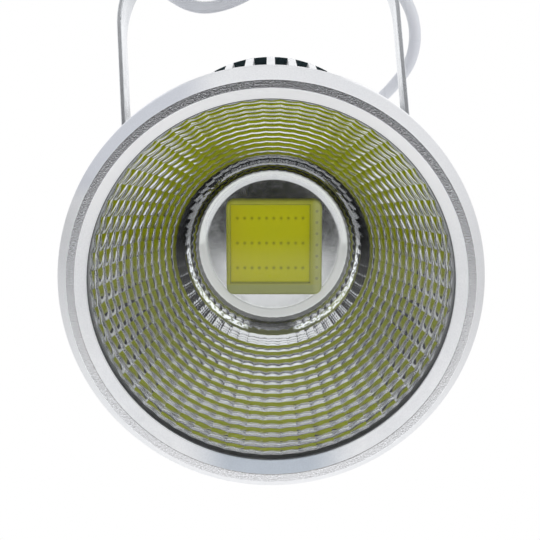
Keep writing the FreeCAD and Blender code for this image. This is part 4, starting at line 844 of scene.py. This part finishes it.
def build_cable():
    path = cable_path()
    split = int(np.argmin(np.linalg.norm(path - np.array(CABLE_SPLIT), axis=1)))
    jacket = MATERIALS["cable_jacket"]
    first = tube("cable_head_length", path[:split + 1], CABLE_RADIUS, jacket)
    second = tube("cable_yoke_length", path[split:], CABLE_RADIUS, jacket)
    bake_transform(first)
    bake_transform(second)
    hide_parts("supply_cable")


# ------------------------------------------------------------------ camera
CAMERA_PLACE = Vector((5.3161269213, -505.88759998, -273.30919480)) * MM
CAMERA_RIGHT = Vector((0.99756405026, 0.02837251396, -0.06372570973))
CAMERA_UP = Vector((0.06838986955, -0.21785312723, 0.97358247761))
CAMERA_FORWARD = Vector((-0.01374013729, 0.97556907260, 0.21926284049))


def build_camera():
    data = bpy.data.cameras.new("camera")
    data.sensor_width = 36.0
    data.lens = 102.1333333
    data.clip_start = 0.01
    data.clip_end = 50
    camera = bpy.data.objects.new("camera", data)
    bpy.context.scene.collection.objects.link(camera)
    matrix = Matrix((CAMERA_RIGHT, CAMERA_UP, -CAMERA_FORWARD)).transposed().to_4x4()
    matrix.translation = CAMERA_PLACE
    camera.matrix_world = matrix
    bpy.context.scene.camera = camera


# ------------------------------------------------------------------ stage
FLOOR_HALF = 6.0                             # m
FLOOR_HEIGHT = -0.62                         # m


def build_floor():
    """White floor, left out of reflections."""
    corners = [(x * FLOOR_HALF, y * FLOOR_HALF, FLOOR_HEIGHT)
               for x, y in ((-1, -1), (1, -1), (1, 1), (-1, 1))]
    mesh = bpy.data.meshes.new("floor")
    mesh.from_pydata(corners, [], [(0, 1, 2, 3)])
    floor = bpy.data.objects.new("floor", mesh)
    bpy.context.scene.collection.objects.link(floor)
    g = new_material("floor_white")
    g.finish(g.add("BsdfDiffuse", {0: (0.93, 0.93, 0.93)}))
    mesh.materials.append(MATERIALS["floor_white"])
    floor.visible_glossy = False


def reflected_level(g):
    """Strength of the sky as reflections see it, laid out by angles in the head frame."""
    view = g.add("TexCoord", output="Generated")

    def along(*direction):
        unit = Vector(tuple(head_direction(*direction))).normalized()
        return g.add("VectorMath", {0: view, 1: unit}, output="Value", operation="DOT_PRODUCT")

    def angle_from(cosine):
        return cosine.maximum(-1.0).minimum(1.0).arccos()

    forward, side, up = along(0, -1, 0), along(1, 0, 0), along(0, 0, 1)
    degrees = 180.0 / math.pi
    elevation = up.arctan2((forward * forward + side * side).sqrt()) * degrees
    azimuth = abs(side.arctan2(forward)) * degrees
    from_front = angle_from(forward) * degrees

    # dark patch in front of the mouth, mostly gone high up
    thinning, clearing = 0.12, 0.88
    gone = (elevation.rise(start=16.0, end=44.0) * thinning
            + elevation.rise(start=42.0, end=58.0) * clearing)
    front = (elevation.rise(start=-11.4, end=-10.0) * (1.0 - gone)
             * azimuth.fade(start=46.0, end=70.0))
    # soft round patch on the left, towards the back
    patch = angle_from(along(-0.774, 0.626, 0.02)).rise(
        start=math.radians(4.0), end=math.radians(15.0), low=0.45)
    # dimmer ring round the back, except below
    back = (from_front.band(opens=(96.0, 120.0), closes=(134.0, 166.0))
            * up.rise(start=-0.75, end=-0.2))
    front_level, back_loss, least = 0.03, 0.46, 0.03
    level = (1.0 - front * (1.0 - front_level)) - back * back_loss
    low_sky, high_sky = 1.12, 1.45
    sky = low_sky + elevation.rise(start=-12.0, end=20.0) * (high_sky - low_sky)
    return (level * patch).maximum(least) * sky


def build_world():
    """White to the camera, even for diffuse light, patterned for reflections."""
    world = bpy.data.worlds.new("world")
    bpy.context.scene.world = world
    world.use_nodes = True
    g = Graph(world.node_tree, "OutputWorld")
    rays = g.node("LightPath").outputs
    backdrop = g.add("Background", {"Color": (1, 1, 1), "Strength": 1.0})
    reflected = g.add("Background", {"Color": (0.985, 0.99, 1.0), "Strength": reflected_level(g)})
    diffuse = g.add("Background", {"Strength": 0.95})
    lighting = g.mix_shader(Field(g, rays["Is Diffuse Ray"]), reflected, diffuse)
    g.finish(g.mix_shader(Field(g, rays["Is Camera Ray"]), lighting, backdrop))


def set_view():
    view = bpy.context.scene.view_settings
    view.view_transform = "Standard"
    view.look = "None"
    view.exposure = 0.0
    view.gamma = 1.0


# ------------------------------------------------------------------ build
bezel_material()
finish_materials()
reflector_material()
plate_material()
flange_material()
glass_material()
phosphor_material()
gel_material()
dress_pieces()

build_reflector()
build_bezel()
build_plate()
build_cable()
build_camera()
build_floor()
build_world()
set_view()
